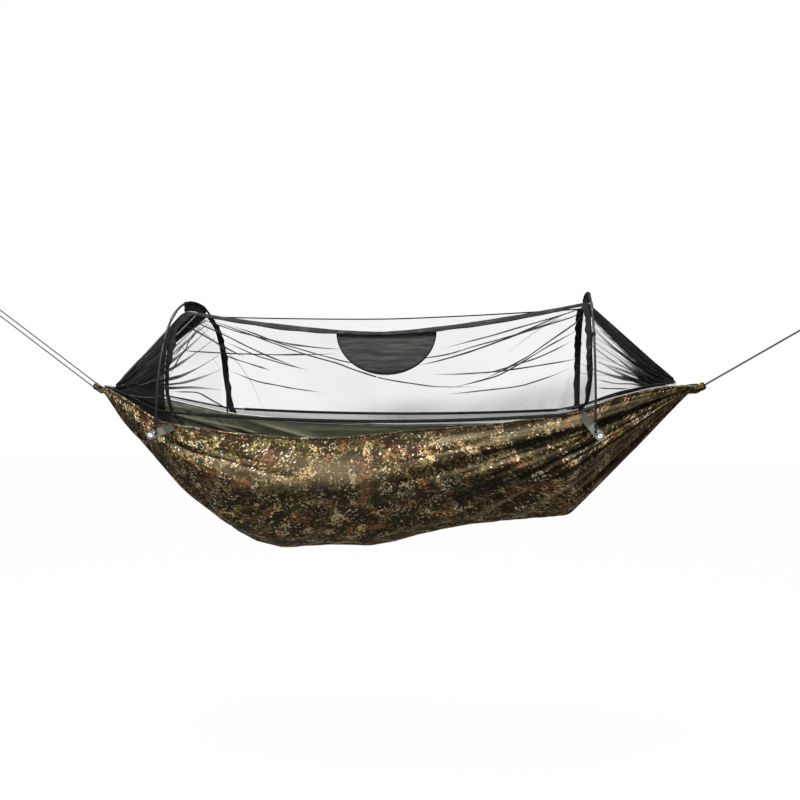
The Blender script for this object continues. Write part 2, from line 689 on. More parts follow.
olive_thread = thread_finish("olive_thread", (0.09, 0.085, 0.045))
stitch_tree = line_tree("stitch_run", olive_thread)
ENDS = ((-1, "head"), (1, "foot"))
SIDES = ((-1, "near"), (1, "far"))
HEM_STITCH = (0.0042, 0.0030, 0.0008, 0.0008)
HEM_STITCH_DROP = 0.0012
HEM_WANDER = 0.0010
HEM_SIDES = 12
HEM_GIRTH = 0.03
HEM_ROLL_SHARE = 0.86
HEM_STITCH_SHARE = 0.88
hem_x = np.linspace(-BED_END, BED_END, 420)
hem_rolls, hem_stitches = [], []
for side, word in SIDES:
    centre = hem_centre(hem_x, side)
    centre[:, 1] += HEM_WANDER * soft_noise(hem_x * 21, side * 4.0, 0.5)
    swell = 0.95 + 0.08 * soft_noise(hem_x * 33, side * 9.0, 2.5)
    hem = Shape()
    rings = rings_along(centre, round_outline(HEM_RADIUS * HEM_ROLL_SHARE, HEM_SIDES, 1.05), size=swell)
    hem.tube(rings, tube_flat(centre, HEM_SIDES) * (1, HEM_GIRTH))
    turned_in = np.cos((np.arange(HEM_SIDES) + 0.5) * 2 * math.pi / HEM_SIDES) * -side < 0.2
    hem.parts = turned_in.astype(int).tolist() * (len(hem_x) - 1) + [0, 0]
    hem_rolls.append(hem.make(f"{word}_hem_roll", both_faces, "hammock", [f"{word}_hem"], "camouflage_nylon"))
    lines = [centre + (0, side * HEM_RADIUS * HEM_STITCH_SHARE, -HEM_STITCH_DROP)]
    hem_stitches.append(along_lines(f"{word}_hem_stitches", lines, stitch_tree, HEM_STITCH, olive_thread))


# Gathered ends. At each end the sheet is sewn into a channel, and its cloth is bunched tight in deep
# pleats on the rope that runs through it.
CHANNEL_LENGTH = 0.035
CHANNEL_HALF_HEIGHT = 0.0145
CHANNEL_HALF_DEPTH = 0.012
CHANNEL_PLEATS = 17
CHANNEL_ROWS = 15
POINTS_IN_PLEAT = 8
ROPE_SLOPE = {-1: math.radians(35.8), 1: math.radians(30.7)}


def rope_direction(end):
    return np.array((end * math.cos(ROPE_SLOPE[end]), 0, math.sin(ROPE_SLOPE[end])))


def gather_centre(end):
    return np.array((end * HALF_SPAN, 0, -GATHER_DEPTH / 2))


turns = np.arange(POINTS_IN_PLEAT * CHANNEL_PLEATS) * 2 * math.pi / (POINTS_IN_PLEAT * CHANNEL_PLEATS)
for end, word in ENDS:
    outward = rope_direction(end)
    depth = 0.10 + 0.05 * soft_noise(np.cos(turns) * 2, np.sin(turns) * 2, end * 3.0)
    pleats = 1 + depth * (2 * np.abs(np.sin(turns * CHANNEL_PLEATS / 2)) ** 0.8 - 1.2)
    rings = []
    for share in np.linspace(0, 1, CHANNEL_ROWS):
        direction = unit((1 - share) * np.array((end, 0, 0)) + share * outward)
        up = unit(np.array((-direction[2] * end, 0, direction[0] * end)))
        swell = (1 + 0.25 * (1 - share)) * (1 - 0.22 * ease((share - 0.82) / 0.18))
        pinch = 1 - 0.10 * peak(share, 0.45, 0.12)
        centre = gather_centre(end) + outward * (CHANNEL_LENGTH * share)
        aside = (CHANNEL_HALF_DEPTH * swell * pinch * pleats * np.cos(turns))[:, None] * np.array((0, 1, 0))
        over = (CHANNEL_HALF_HEIGHT * pinch * min(swell, 1) * pleats * np.sin(turns))[:, None] * up
        rings.append(centre + aside + over)
    channel = Shape()
    lengthwise, round_it = np.linspace(0, 0.05, CHANNEL_ROWS), np.linspace(0, 0.4, len(turns) + 1)
    channel.tube(np.array(rings), np.stack(np.meshgrid(lengthwise, round_it, indexing="ij"), -1))
    channel.make(
        f"{word}_gather", printed_nylon, "hammock", [f"{word}_end_channel"], "camouflage_nylon"
    )


# Ropes and carabiners. A braided polyester rope goes out of each channel, round the bow of a forged
# alloy carabiner and back, pulled straight. The whole tent hangs from the two carabiners.
ROPE_DIAMETER = 0.005
ROPE_ROD_GAP = 0.0006
ROPE_BEND = 0.010
CARABINER_ROD = 0.012
CARABINER_LENGTH = 0.100
CARABINER_WIDTH = 0.050
GATE_DIAMETER = 0.009
GATE_LENGTH = 0.038
GATE_NOSE_GAP = 0.0007
ROPE_STEP = 0.0022
CARABINER_STEP = 0.0025
# The gate's knuckle and bar: place along it from its hinge, radius as a share of its own
GATE_SHARES = (
    (-0.0045, 0.30), (-0.0040, 0.60), (-0.0025, 0.86), (0, 1), (0.002, 1), (0.0024, 0.92), (0.0028, 0.92),
    (0.006, 1), (0.030, 1), (0.0340, 1), (0.0345, 0.92), (0.0350, 0.92), (0.0372, 1), (0.038, 0.94),
)
GATE_PIN_RADIUS = 0.0013
GATE_PIN_SHARES = ((-0.0050, 0.7), (-0.0047, 1), (0.0047, 1), (0.0050, 0.7))
# Places along a rope's run from its channel, and of its bend from the run's end: out, aside
ROPE_STOPS = {
    -1: (0, 0.10, 0.20, 0.30, 0.40, 0.50, 0.57, 0.59, 0.60),
    1: (0, 0.08, 0.16, 0.24, 0.32, 0.40, 0.43, 0.45, 0.46),
}
BEND_STOPS = ((0.0050, 0.0087), (0.0087, 0.0050), (ROPE_BEND, 0))


def rope_route(end):
    """How far out and aside each of a rope's points is: out of the channel, round the bow and back."""
    stops = ROPE_STOPS[end]
    there = [(far, ROPE_BEND) for far in stops] + [(stops[-1] + far, aside) for far, aside in BEND_STOPS]
    return there + [(far, -aside) for far, aside in there[-2::-1]]


def rope_finish():
    """Braid: strands that cross, eight each way round the rope."""
    look = Finish("braided_rope", Roughness=0.8, Sheen_Weight=0.4, Sheen_Roughness=0.5)
    far, around, _ = look.split(look.flat())
    lengthwise, round_it = far * 900, around * (8 * 2 * math.pi)
    braid = (lengthwise + round_it).sine().most((lengthwise - round_it).sine())
    colour = look.mix(braid.between(0.0, 0.9), (0.010, 0.011, 0.012), (0.048, 0.050, 0.054))
    look.bump(braid, 0.0004, 0.9)
    return look.show(Base_Color=colour)


def alloy_finish(name, light, dark):
    look = Finish(name, Metallic=1.0, Roughness=0.35)
    place = look.place()
    wear = look.noise(place, 60.0, 4.0, 0.6)
    scratches = look.noise(look.stretched(place, 40, 900, 900), 1.0, 2.0)
    look.bump(scratches, 0.0001, 0.35)
    colour = look.mix(wear.between(0.35, 0.65), dark, light)
    return look.show(Base_Color=colour, Roughness=0.26 + 0.22 * wear + 0.08 * scratches)


def resampled(points, step, smoothing=0):
    """Points at even steps along a line, with its corners rounded off."""
    points = np.asarray(points, float)
    lengths = lengths_along(points)
    places = np.linspace(0, lengths[-1], max(int(round(lengths[-1] / step)), 4) + 1)
    line = np.stack([np.interp(places, lengths, points[:, k]) for k in range(3)], axis=-1)
    for _ in range(smoothing):
        line[1:-1] = 0.25 * line[:-2] + 0.5 * line[1:-1] + 0.25 * line[2:]
    return line


braided_rope = rope_finish()
grey_alloy = alloy_finish("forged_alloy", (0.36, 0.37, 0.38), (0.27, 0.28, 0.29))
bend_inside = ROPE_BEND - ROPE_DIAMETER / 2 - ROPE_ROD_GAP - CARABINER_ROD / 2
half_length = (CARABINER_LENGTH - CARABINER_ROD) / 2
half_width = (CARABINER_WIDTH - CARABINER_ROD) / 2
hinge_run = -GATE_LENGTH / 2
mouth = (hinge_run - GATE_DIAMETER / 2 - FIT_GAP, hinge_run + GATE_LENGTH + GATE_NOSE_GAP)
for end, word in ENDS:
    along = rope_direction(end)
    upright, level = np.array((-along[2] * end, 0, along[0] * end)), np.array((0.0, 1.0, 0.0))
    across, square = (upright, level) if end < 0 else (level, upright)
    exit_point = gather_centre(end) + along * (CHANNEL_LENGTH + FIT_GAP)
    path = np.array([exit_point + along * far + across * aside for far, aside in rope_route(end)])
    smooth_path = resampled(path, ROPE_STEP, 2)
    rope = Shape()
    rope.rod(smooth_path, round_outline(ROPE_DIAMETER / 2, 14), square, mapped=True)
    rope_piece = rope.make(f"{word}_braided_rope", braided_rope, "hammock", [f"{word}_rope"], "dark_rope")

    middle = exit_point + along * (ROPE_STOPS[end][-1] + bend_inside + half_length)
    straight = half_length - half_width
    bow = np.linspace(0, math.pi, 25)
    low = [(-straight - half_width * math.sin(t), half_width * math.cos(t)) for t in bow]
    high = [(straight + half_width * math.sin(t), -half_width * math.cos(t)) for t in bow]
    oval = [(mouth[0], half_width), *low, *high, (mouth[1], half_width)]
    oval = [p for p in oval if not mouth[0] < p[0] < mouth[1] or p[1] < 0]
    oval_path = resampled([middle + along * a + square * b for a, b in oval], CARABINER_STEP, 1)
    length_share = np.linspace(0, 1, len(oval_path))
    waist = 1 - 0.12 * peak(np.minimum(length_share, 1 - length_share), 0, 0.012)
    hook = Shape()
    hook.rod(oval_path, round_outline(CARABINER_ROD / 2, 18), across, waist)
    hook_node = [f"{word}_carabiner"]
    hook_piece = hook.make(f"{word}_carabiner_body", grey_alloy, "hammock", hook_node, "grey_alloy")

    hinge = middle + along * hinge_run + square * half_width
    far, size = np.array(GATE_SHARES).T
    gate = Shape()
    gate.rod(hinge + along * far[:, None], round_outline(GATE_DIAMETER / 2, 18), across, size)
    far, size = np.array(GATE_PIN_SHARES).T
    gate.rod(hinge + across * far[:, None], round_outline(GATE_PIN_RADIUS, 12), along, size)
    gate_node = [f"{word}_gate"]
    gate_piece = gate.make(f"{word}_sprung_gate", grey_alloy, f"{word}_gate_body", gate_node, "grey_alloy")
    (path[0] + BED_CENTRE).tolist()


# Poles. Two thin glass-fibre poles, each of three sections joined by pressed metal ferrules, are bowed
# over the bed. A moulded tip on each end stands in an eyelet of a foot patch.
HOOP_REACH = 0.785
POLE_HALF_SPREAD = 0.395
POLE_RISE = 0.510
ARCH_POWER = 0.87
FOOT_DROP = {-1: 0.172, 1: 0.158}
POLE_DIAMETER = 0.0085
FERRULE_LENGTH = 0.060
# A ferrule's bead and pressed ring at each end: distance from the end, radius
FERRULE_RINGS = (
    (0, 0.0052), (0.0006, 0.0056), (0.002, 0.0056), (0.004, 0.0054), (0.006, 0.0054), (0.0075, 0.0050),
    (0.0090, 0.0050), (0.0105, 0.0054),
)
FERRULE_RADIUS = 0.0055
FERRULE_PLAIN = 0.014
TIP_NECK = 0.013
TIP_NECK_RADIUS = 0.0030
TIP_COLLAR = 0.014
TIP_COLLAR_RADIUS = 0.0055
TIP_BALL_RADIUS = 0.006
POLE_BORE = POLE_DIAMETER / 2 + FIT_GAP
POLE_END_ROUNDING = 0.004
TURN_STEP = 0.0016


def arch_point(end, turn):
    """Centre line of a pole at an angle from 0 at its near foot to pi at its far one."""
    cosine = np.cos(turn)
    y = -np.sign(cosine) * np.abs(cosine) ** ARCH_POWER * POLE_HALF_SPREAD
    z = -FOOT_DROP[end] + POLE_RISE * np.abs(np.sin(turn)) ** ARCH_POWER
    return points_of(end * HOOP_REACH, y, z)


def arch_outward(end, turn):
    after = arch_point(end, np.minimum(turn + TURN_STEP, math.pi))
    before = arch_point(end, np.maximum(turn - TURN_STEP, 0))
    ahead = unit(after - before)
    return points_of(0, -ahead[..., 2], ahead[..., 1])


ARCH_TURNS = np.linspace(0, math.pi, 801)
ARCH_LENGTHS = lengths_along(arch_point(-1, ARCH_TURNS))


def turn_at(length):
    return np.interp(length, ARCH_LENGTHS, ARCH_TURNS)


def length_at(turn):
    return np.interp(turn, ARCH_TURNS, ARCH_LENGTHS)


def pole_finish():
    look = Finish("black_glass_fibre", Roughness=0.5, Specular_IOR_Level=0.25)
    place = look.place()
    grain = look.noise(look.stretched(place, 300, 300, 25), 1.0, 3.0)
    rub = look.noise(place, 45.0, 3.0)
    colour = look.mix(rub.between(0.55, 0.75), (0.016, 0.016, 0.017), (0.040, 0.040, 0.042))
    look.bump(grain, 0.0002, 0.4)
    return look.show(Base_Color=colour, Roughness=0.42 + 0.2 * grain)


def plastic_finish(name, colour):
    look = Finish(name, Roughness=0.45)
    grain = look.noise(look.place(), 1400.0, 2.0)
    wear = look.noise(look.place(), 90.0, 3.0)
    pale = tuple(min(c * 1.9 + 0.004, 1) for c in colour)
    look.bump(grain, 0.0001, 0.5)
    return look.show(Base_Color=look.mix(wear.between(0.5, 0.8), colour, pale), Roughness=0.38 + 0.2 * wear)


def turned_rings(profile, count, matrix):
    """Rings of a turned piece from its (radius, height) profile, along the matrix's Z axis."""
    turns = np.arange(count) * 2 * math.pi / count
    return in_frame(matrix, [[(r * math.cos(t), r * math.sin(t), h) for t in turns] for r, h in profile])


def in_frame(matrix, points):
    """Points of a matrix's own frame in the bed's."""
    held = np.array(matrix)
    return np.asarray(points, float) @ held[:3, :3].T + held[:3, 3]


def ring_on_pole(shape, path, radii):
    """A closed ring round a pole, with the pole's bore."""
    outer, inner = (rings_along(path, round_outline(1, 16), X_AXIS, size) for size in (radii, POLE_BORE))
    shape.sleeve(outer, inner, tube_flat(path, 16))


glass_fibre = pole_finish()
black_plastic = plastic_finish("black_plastic", (0.014, 0.014, 0.015))
ferrule_metal = alloy_finish("pressed_ferrule", (0.16, 0.165, 0.17), (0.10, 0.10, 0.105))
X_AXIS = (1.0, 0.0, 0.0)
LEGS = [(end, side, word, f"{word}_{side_word}") for end, word in ENDS for side, side_word in SIDES]
arch_length = ARCH_LENGTHS[-1]
tip_top = TIP_NECK + TIP_COLLAR
joints = (arch_length / 3, arch_length * 2 / 3)
stretches = (
    ("near", tip_top + FIT_GAP, joints[0] - FIT_GAP), ("crown", joints[0] + FIT_GAP, joints[1] - FIT_GAP),
    ("far", joints[1] + FIT_GAP, arch_length - tip_top - FIT_GAP),
)
bead_places, bead_radii = np.array(FERRULE_RINGS).T
plain = FERRULE_LENGTH / 2 - FERRULE_PLAIN
ferrule_places = np.concatenate([
    bead_places - FERRULE_LENGTH / 2, np.linspace(-plain, plain, 9), FERRULE_LENGTH / 2 - bead_places[::-1]
])
ferrule_radii = np.concatenate([bead_radii, np.full(9, FERRULE_RADIUS), bead_radii[::-1]])
tip_profile = [
    (0, tip_top), (0.0048, tip_top), (TIP_COLLAR_RADIUS, tip_top - 0.0008),
    (TIP_COLLAR_RADIUS, TIP_NECK + 0.009), (0.0052, TIP_NECK + 0.008), (TIP_COLLAR_RADIUS, TIP_NECK + 0.007),
    (TIP_COLLAR_RADIUS, TIP_NECK + 0.0008), (0.0047, TIP_NECK), (0.0032, TIP_NECK),
    (TIP_NECK_RADIUS, TIP_NECK - 0.001),
]
ball_turns = np.linspace(math.asin(TIP_NECK_RADIUS / TIP_BALL_RADIUS), math.pi, 12)
tip_profile += [(TIP_BALL_RADIUS * math.sin(t), TIP_BALL_RADIUS * math.cos(t)) for t in ball_turns]
for end, word in ENDS:
    body = f"{word}_hoop"
    for part_word, start, stop in stretches:
        path = arch_point(end, turn_at(np.linspace(start, stop, 90)))
        edge = np.minimum(np.linspace(0, 1, 90), np.linspace(1, 0, 90)) * (stop - start)
        size = 0.9 + 0.1 * ease(edge / POLE_END_ROUNDING)
        pole = Shape()
        pole.rod(path, round_outline(POLE_DIAMETER / 2, 16), X_AXIS, size, mapped=True)
        pole_node = [f"{word}_{part_word}_pole"]
        pole.make(f"{word}_{part_word}_section", glass_fibre, body, pole_node, "pole_black")
    for (side, side_word), joint in zip(SIDES, joints):
        name = f"{word}_{side_word}"
        ferrule = Shape()
        ring_on_pole(ferrule, arch_point(end, turn_at(joint + ferrule_places)), ferrule_radii)
        ferrule.make(f"{name}_pressed_ferrule", ferrule_metal, body, [f"{name}_ferrule"], "ferrule_metal")
    for side, side_word in SIDES:
        name = f"{word}_{side_word}"
        spot = (end * HOOP_REACH, side * POLE_HALF_SPREAD, -FOOT_DROP[end])
        tip = Shape()
        tip.grid(turned_rings(tip_profile, 24, Matrix.Translation(spot)), wrap=True)
        tip.make(f"{name}_moulded_tip", black_plastic, body, [f"{name}_tip"], "black_plastic")


# Net. Black mosquito mesh is sewn to both hems and drawn down to each gather. Between the hoops it hangs
# from two roof seams. A long zip parts its upper part from the skirt on each side.
NET_END = 1.105
NET_END_RISE = 0.022
NET_FOLD = 0.012
NET_THICKNESS = 0.0008
SOLID_NET_HALF = 0.00075
NET_END_SPREAD_SHARE = 0.4
SEAM_HALF_SPREAD = 0.120
SEAM_SAG = {-1: 0.098, 1: 0.025}
WALL_SAG = 0.020
ROOF_SAG = 0.006
HANGING_FOLD = 0.0045
NET_RIPPLE = 0.004
HOOP_FADE = 0.03
ZIP_HALF_SPREAD = 0.345
ZIP_REACH = 0.735
ZIP_END_DROP = 0.099
ZIP_SAG = {-1: 0.030, 1: 0.020}
SKIRT_LEAST = 0.014
SKIRT_RIPPLE = 0.0025
LEG_GAP = 0.0135
CROWN_GAP = 0.036
SEWN_GAP = 0.0008
FOLD_START = (0.785, -0.095)
FOLD_FULL = (0.877, 0.108)
CONE_FULL = (0.683, 0.095)


def hem_top(x, side):
    centre = hem_centre(x, side)
    after, before = (
        np.abs(hem_centre(x + step, side)[..., 2] - centre[..., 2]) for step in (HEM_RADIUS, -HEM_RADIUS)
    )
    lift = HEM_RADIUS * np.hypot(1, np.maximum(after, before) / HEM_RADIUS) + 2 * SEWN_GAP
    return points_of(x, centre[..., 1], centre[..., 2] + lift)


def zip_radius(side):
    return (ZIP_REACH**2 + ZIP_SAG[side] ** 2) / (2 * ZIP_SAG[side])


def zip_pivot_height(side):
    return -ZIP_END_DROP - ZIP_SAG[side] + zip_radius(side)


def zip_line(x, side):
    drop = np.sqrt(zip_radius(side) ** 2 - np.asarray(x) ** 2)
    return points_of(x, side * ZIP_HALF_SPREAD, zip_pivot_height(side) - drop)


def skirt_top(x, side):
    hem = hem_top(x, side)
    inner = np.clip(x, -ZIP_REACH, ZIP_REACH)
    last_hem = hem_top(inner, side)
    height = np.maximum(zip_line(inner, side)[..., 2], last_hem[..., 2] + SKIRT_LEAST)
    share = np.clip((np.abs(x) - ZIP_REACH) / (NET_END - ZIP_REACH), 0, 1)
    above = (height - last_hem[..., 2]) * (1 - share) + NET_END_RISE / 3 * share
    beyond = np.abs(x) > ZIP_REACH
    y = np.where(beyond, hem[..., 1], side * ZIP_HALF_SPREAD)
    return points_of(x, y, np.where(beyond, hem[..., 2] + above, height))


def net_gap(turn):
    return LEG_GAP + (CROWN_GAP - LEG_GAP) * np.sin(turn) ** 4


def crown_turn(half_spread):
    return math.acos((half_spread / POLE_HALF_SPREAD) ** (1 / ARCH_POWER))


def on_hoop(end, turn):
    """Where the net runs, inside the pole."""
    return arch_point(end, turn) - arch_outward(end, turn) * net_gap(turn)[..., None]


def on_side(turn, side):
    """A pole's angle on the near side, or the one across from it."""
    return turn if side < 0 else math.pi - turn


def height_turn(share):
    """The near side's angle where a pole has a share of its rise."""
    return math.asin(share ** (1 / ARCH_POWER))


def seam_turn(side):
    return on_side(crown_turn(SEAM_HALF_SPREAD), side)


def hoop_seam(end, side):
    return on_hoop(end, np.array(seam_turn(side)))


def seam_line(x, side):
    """Roof seam: it hangs between the hoops, and runs straight from each hoop to its gather."""
    place = np.clip(x / HOOP_REACH, -1, 1)
    head, foot = hoop_seam(-1, side), hoop_seam(1, side)
    middle = mixed(head, foot, (place + 1) / 2)
    middle[..., 2] -= SEAM_SAG[side] * (1 - np.abs(place) ** 1.5)
    middle[..., 0] = x
    end_x = np.where(x < 0, -NET_END, NET_END)
    hem = hem_top(end_x, side)
    last = points_of(end_x, hem[..., 1] * NET_END_SPREAD_SHARE, hem[..., 2] + NET_END_RISE)
    hoop = np.where((x < 0)[..., None], head, foot)
    share = np.clip((np.abs(x) - HOOP_REACH) / (NET_END - HOOP_REACH), 0, 1)
    return np.where((np.abs(x) > HOOP_REACH)[..., None], mixed(hoop, last, share), middle)


def wall_bulge(end, side, share):
    seam = hoop_seam(end, side)
    start = skirt_top(np.array(end * HOOP_REACH), side)
    low_turn = on_side(height_turn((start[2] + FOOT_DROP[end]) / POLE_RISE), side)
    turn = low_turn + (seam_turn(side) - low_turn) * share
    foot = on_hoop(end, np.array(low_turn))
    return on_hoop(end, turn) + (start - foot) * ((1 - share) ** 2)[..., None] - mixed(start, seam, share)


def roof_bulge(end, share):
    turn = seam_turn(-1) + (seam_turn(1) - seam_turn(-1)) * share
    return on_hoop(end, turn) - mixed(hoop_seam(end, -1), hoop_seam(end, 1), share)


def slackness(x):
    return np.maximum(0, 1 - np.abs(x / HOOP_REACH) ** 2)


def tautness(x):
    beyond = np.clip((NET_END - np.abs(x)) / (NET_END - HOOP_REACH), 0, 1)
    return np.where(np.abs(x) <= HOOP_REACH, 1 - slackness(x), beyond)


def net_lift(x, around):
    """Small hanging folds: they fan out from the hoops' crowns."""
    fan = around * 9 + 2.2 * np.abs(x / HOOP_REACH) ** 1.3 * np.where(x < 0, 1.0, 1.2)
    fold = np.abs(np.sin(math.pi * (fan + 0.5 * soft_noise(x * 1.7, around * 3, 1.0)))) ** 0.8 - 0.6
    loose = 0.25 + 0.75 * slackness(x)
    cone = ease((np.abs(x) - HOOP_REACH) / 0.1)
    ripple = soft_noise(x * 5, around * 8, 6.0) * (1 - cone)
    return HANGING_FOLD * fold * (loose + 0.8 * cone) + NET_RIPPLE * ripple


def bulged(point, x, head_bulge, foot_bulge):
    """Rounds a straight stretch of net out towards the hoops' own curve."""
    lean = np.clip((x / HOOP_REACH + 1) / 2, 0, 1)
    return point + mixed(head_bulge, foot_bulge, lean) * tautness(x)[..., None]


def off_seams(x, share, width):
    """1 inside a wall or the roof, and 0 along its edges and at the hoops."""
    return stretch(share, 0, width, 1, width) * ease(np.abs(np.abs(x) - HOOP_REACH) / HOOP_FADE)


def net_wall(x, side, share, folded=True):
    x, share = np.broadcast_arrays(np.asarray(x, float), np.asarray(share, float))
    straight = mixed(skirt_top(x, side), seam_line(x, side), share)
    point = bulged(straight, x, wall_bulge(-1, side, share), wall_bulge(1, side, share))
    hang = slackness(x) * np.sin(math.pi * share)
    fold = np.cos(3 * math.pi * (share + 0.5 * x / HOOP_REACH)) * NET_FOLD * hang
    inwards = WALL_SAG * hang + fold * ease((1 - share) / 0.3)
    if folded:
        inwards = inwards + net_lift(x, share + (0 if side < 0 else 5.3)) * off_seams(x, share, 0.1)
    point[..., 1] -= side * inwards
    point[..., 0] = x
    return point


def net_roof(x, share):
    x, share = np.broadcast_arrays(np.asarray(x, float), np.asarray(share, float))
    straight = mixed(seam_line(x, -1), seam_line(x, 1), share)
    point = bulged(straight, x, roof_bulge(-1, share), roof_bulge(1, share))
    point[..., 2] -= (net_lift(x, share * 0.5 + 2.6) + ROOF_SAG) * off_seams(x, share, 0.15)
    point[..., 0] = x
    return point


def net_upper(x):
    """Rows of points round the net above its skirts, from the near skirt's top to the far one's."""
    wall = np.linspace(0, 1, 25)[:-1]
    rows = [net_wall(x, -1, np.full_like(x, share)) for share in wall]
    rows += [net_roof(x, np.full_like(x, share)) for share in np.linspace(0, 1, 13)]
    rows += [net_wall(x, 1, np.full_like(x, share)) for share in wall[::-1]]
    return np.stack(rows, axis=1)


def net_skirt(x, side):
    hem, top = hem_top(x, side), skirt_top(x, side)
    rows = []
    for share in np.linspace(0, 1, 7):
        row = mixed(hem, top, np.full_like(x, share))
        row[:, 1] += SKIRT_RIPPLE * math.sin(math.pi * share) * soft_noise(x * 26, share * 1.5, side * 3.0)
        rows.append(row)
    return np.stack(rows, axis=1)


def net_finish(name):
    """Fine black mesh. Its own haze is faint, and its folds show as dark streaks along the fan lines."""
    look = Finish(name, Roughness=0.8, Specular_IOR_Level=0.2)
    far, fan, _ = look.split(look.flat())
    haze, ruck = look.attribute("haze"), look.attribute("ruck")
    streaks = look.noise(look.join(far * 0.55, fan * 30), 1.0, 3.0, 0.5)
    soft = look.noise(look.join(far * 1.5, fan * 6), 1.0, 2.0)
    folds = (streaks - (0.72 - ruck * 0.45)).between(-0.015, 0.035)
    threads = (far * 2400).sine().most((look.attribute("girth") * 2400).sine())
    cover = haze * (0.2 + soft * 1.6) + folds * (0.10 + 0.80 * ruck)
    cover = cover * (0.85 + 0.3 * threads.between(-0.2, 0.9))
    look.bump(threads, 0.0002, 0.4)
    shade = look.mix(streaks.between(0.35, 0.7), (0.003, 0.003, 0.0035), (0.010, 0.010, 0.011))
    return look.show(Base_Color=shade, Alpha=cover.least(1.0).most(0.0))


black_net = net_finish("black_net")


def cone_gathering(x, around, near, roof, share):
    """A cone's haze, share of dark folds and fan coordinate. At the foot, folded cloth leaves a window."""
    cone = (np.abs(x) - HOOP_REACH) / (NET_END - HOOP_REACH)
    top = ease((share - 0.8) / 0.2)
    head_ruck = np.where(near, 0.55 + 0.35 * share, 0.10 + 0.35 * top)
    ruck = np.where(roof, 0.95, np.where(x < 0, head_ruck, 0.10 + 0.5 * top))
    inner = ease((np.abs(x) - 0.99 + 0.17 * share) / 0.03)
    outer = ease((share - 1.80 + 1.5 * np.abs(x)) / 0.06)
    foot_haze = 0.07 + 0.08 * cone * (1 - share) + 0.85 * np.maximum(inner, outer)
    near_haze = np.where(x >= 0, foot_haze, 0.80 + 0.10 * share)
    far_haze = 0.06 + 0.60 * ease((cone - 0.5) / 0.5)
    haze = np.where(near, near_haze, np.where(roof, 0.45 + 0.4 * cone, far_haze))
    return haze, np.where(near & (x >= 0), 0.12 + 0.4 * outer, ruck * 0.8), around * 1.6 + 5


def net_gathering(x, around, rows):
    """Haze, share of dark folds and fan coordinate of the net's points."""
    near, roof = around < 0.4, np.abs(around - 0.5) < 0.101
    share = np.clip(np.where(near, around / 0.4, (1 - around) / 0.4), 0, 1)
    if np.abs(x).max() > HOOP_REACH + 0.001:
        return cone_gathering(x, around, near, roof, share)
    end = np.where(x < 0, -1.0, 1.0)
    corner = np.where(around < 0.5, hoop_seam(-1, -1)[2], hoop_seam(-1, 1)[2])
    level, drop = HOOP_REACH - np.abs(x) + 0.012, corner + 0.02 - rows[..., 2]
    reach, slope = np.hypot(level, drop), np.arctan2(drop, level)
    ruck = np.clip(0.030 / reach, 0, 0.55) * (1 - ease((reach - 0.25) / 0.45)) * ease((level - 0.03) / 0.14)
    ruck = ruck * ease((0.95 - slope) / 0.35)
    haze = 0.022 + 0.040 * peak(x, -0.05, 0.42) * near
    haze = haze + 0.22 * ease((0.30 - share) / 0.25) * ease((x + 0.25) / 0.5) * near
    fan = slope * 0.7 + 0.04 * np.sin(reach * 9 + end) + end + 3 * near
    return haze, np.where(roof, ruck * 1.6 + 0.04, ruck), fan


def hoop_blend(end, cone=False):
    """Cloth above the hems follows the hoop at its crown and stays with the bed at its foot."""
    start, stop = (
        (np.array((end * x, 0, z)) + BED_CENTRE).tolist()
        for x, z in (FOLD_START, CONE_FULL if cone else FOLD_FULL)
    )
    return "hammock", "head_hoop" if end < 0 else "foot_hoop", start, stop


def net_piece(name, x, rows, body, blend):
    x_grid = np.broadcast_to(x[:, None], rows.shape[:2])
    around = np.broadcast_to(np.linspace(0, 1, rows.shape[1])[None], rows.shape[:2])
    if body:
        closed = ease((-x_grid - 0.66) / 0.16) * (rows[..., 1] < 0)
        haze, ruck, fan = 0.26 + 0.4 * closed, 0.14 + 0.5 * closed, around * 0.25
    else:
        haze, ruck, fan = net_gathering(x_grid, around, rows)
    middle = points_of(x_grid, 0, -0.35)
    piece = Shape()
    sheet_layers(
        piece, rows, np.stack([x_grid, fan], axis=-1), NET_THICKNESS, rows - middle,
        girth=girth(rows), haze=haze, ruck=ruck,
    )
    made = piece.make(name, black_net, body, ["net_canopy"], "black_net", sharp=SOFT_EDGE, blend=blend)
    return made


x_cone = np.linspace(HOOP_REACH, NET_END, 34)
x_half = np.concatenate([np.linspace(0, 0.70, 50)[:-1], np.linspace(0.70, HOOP_REACH, 14)])
for end, word in ENDS:
    x = end * x_cone[::-1] if end < 0 else x_cone
    net_piece(f"{word}_net_cone", x, net_upper(x), None, hoop_blend(end, True))
    x = end * x_half[::-1] if end < 0 else x_half
    net_piece(f"{word}_net_half", x, net_upper(x), None, hoop_blend(end))
x_skirt = np.linspace(-NET_END, NET_END, 300)
for side, word in SIDES:
    net_piece(f"{word}_net_skirt", x_skirt, net_skirt(x_skirt, side), "hammock", None)


# Crown sleeves. A channel of doubled black cloth is sewn along the net's crown, and the pole is pushed
# through it. The cloth is gathered, so it hangs in small puckers below the pole.
CROWN_SLEEVE_HALF = 0.120
SLEEVE_WALL = 0.0015
WEB_ROWS = 6
WEB_THICKNESS = 0.0026
WEB_WAVE = 0.0042
WEB_PUCKER = 0.0012


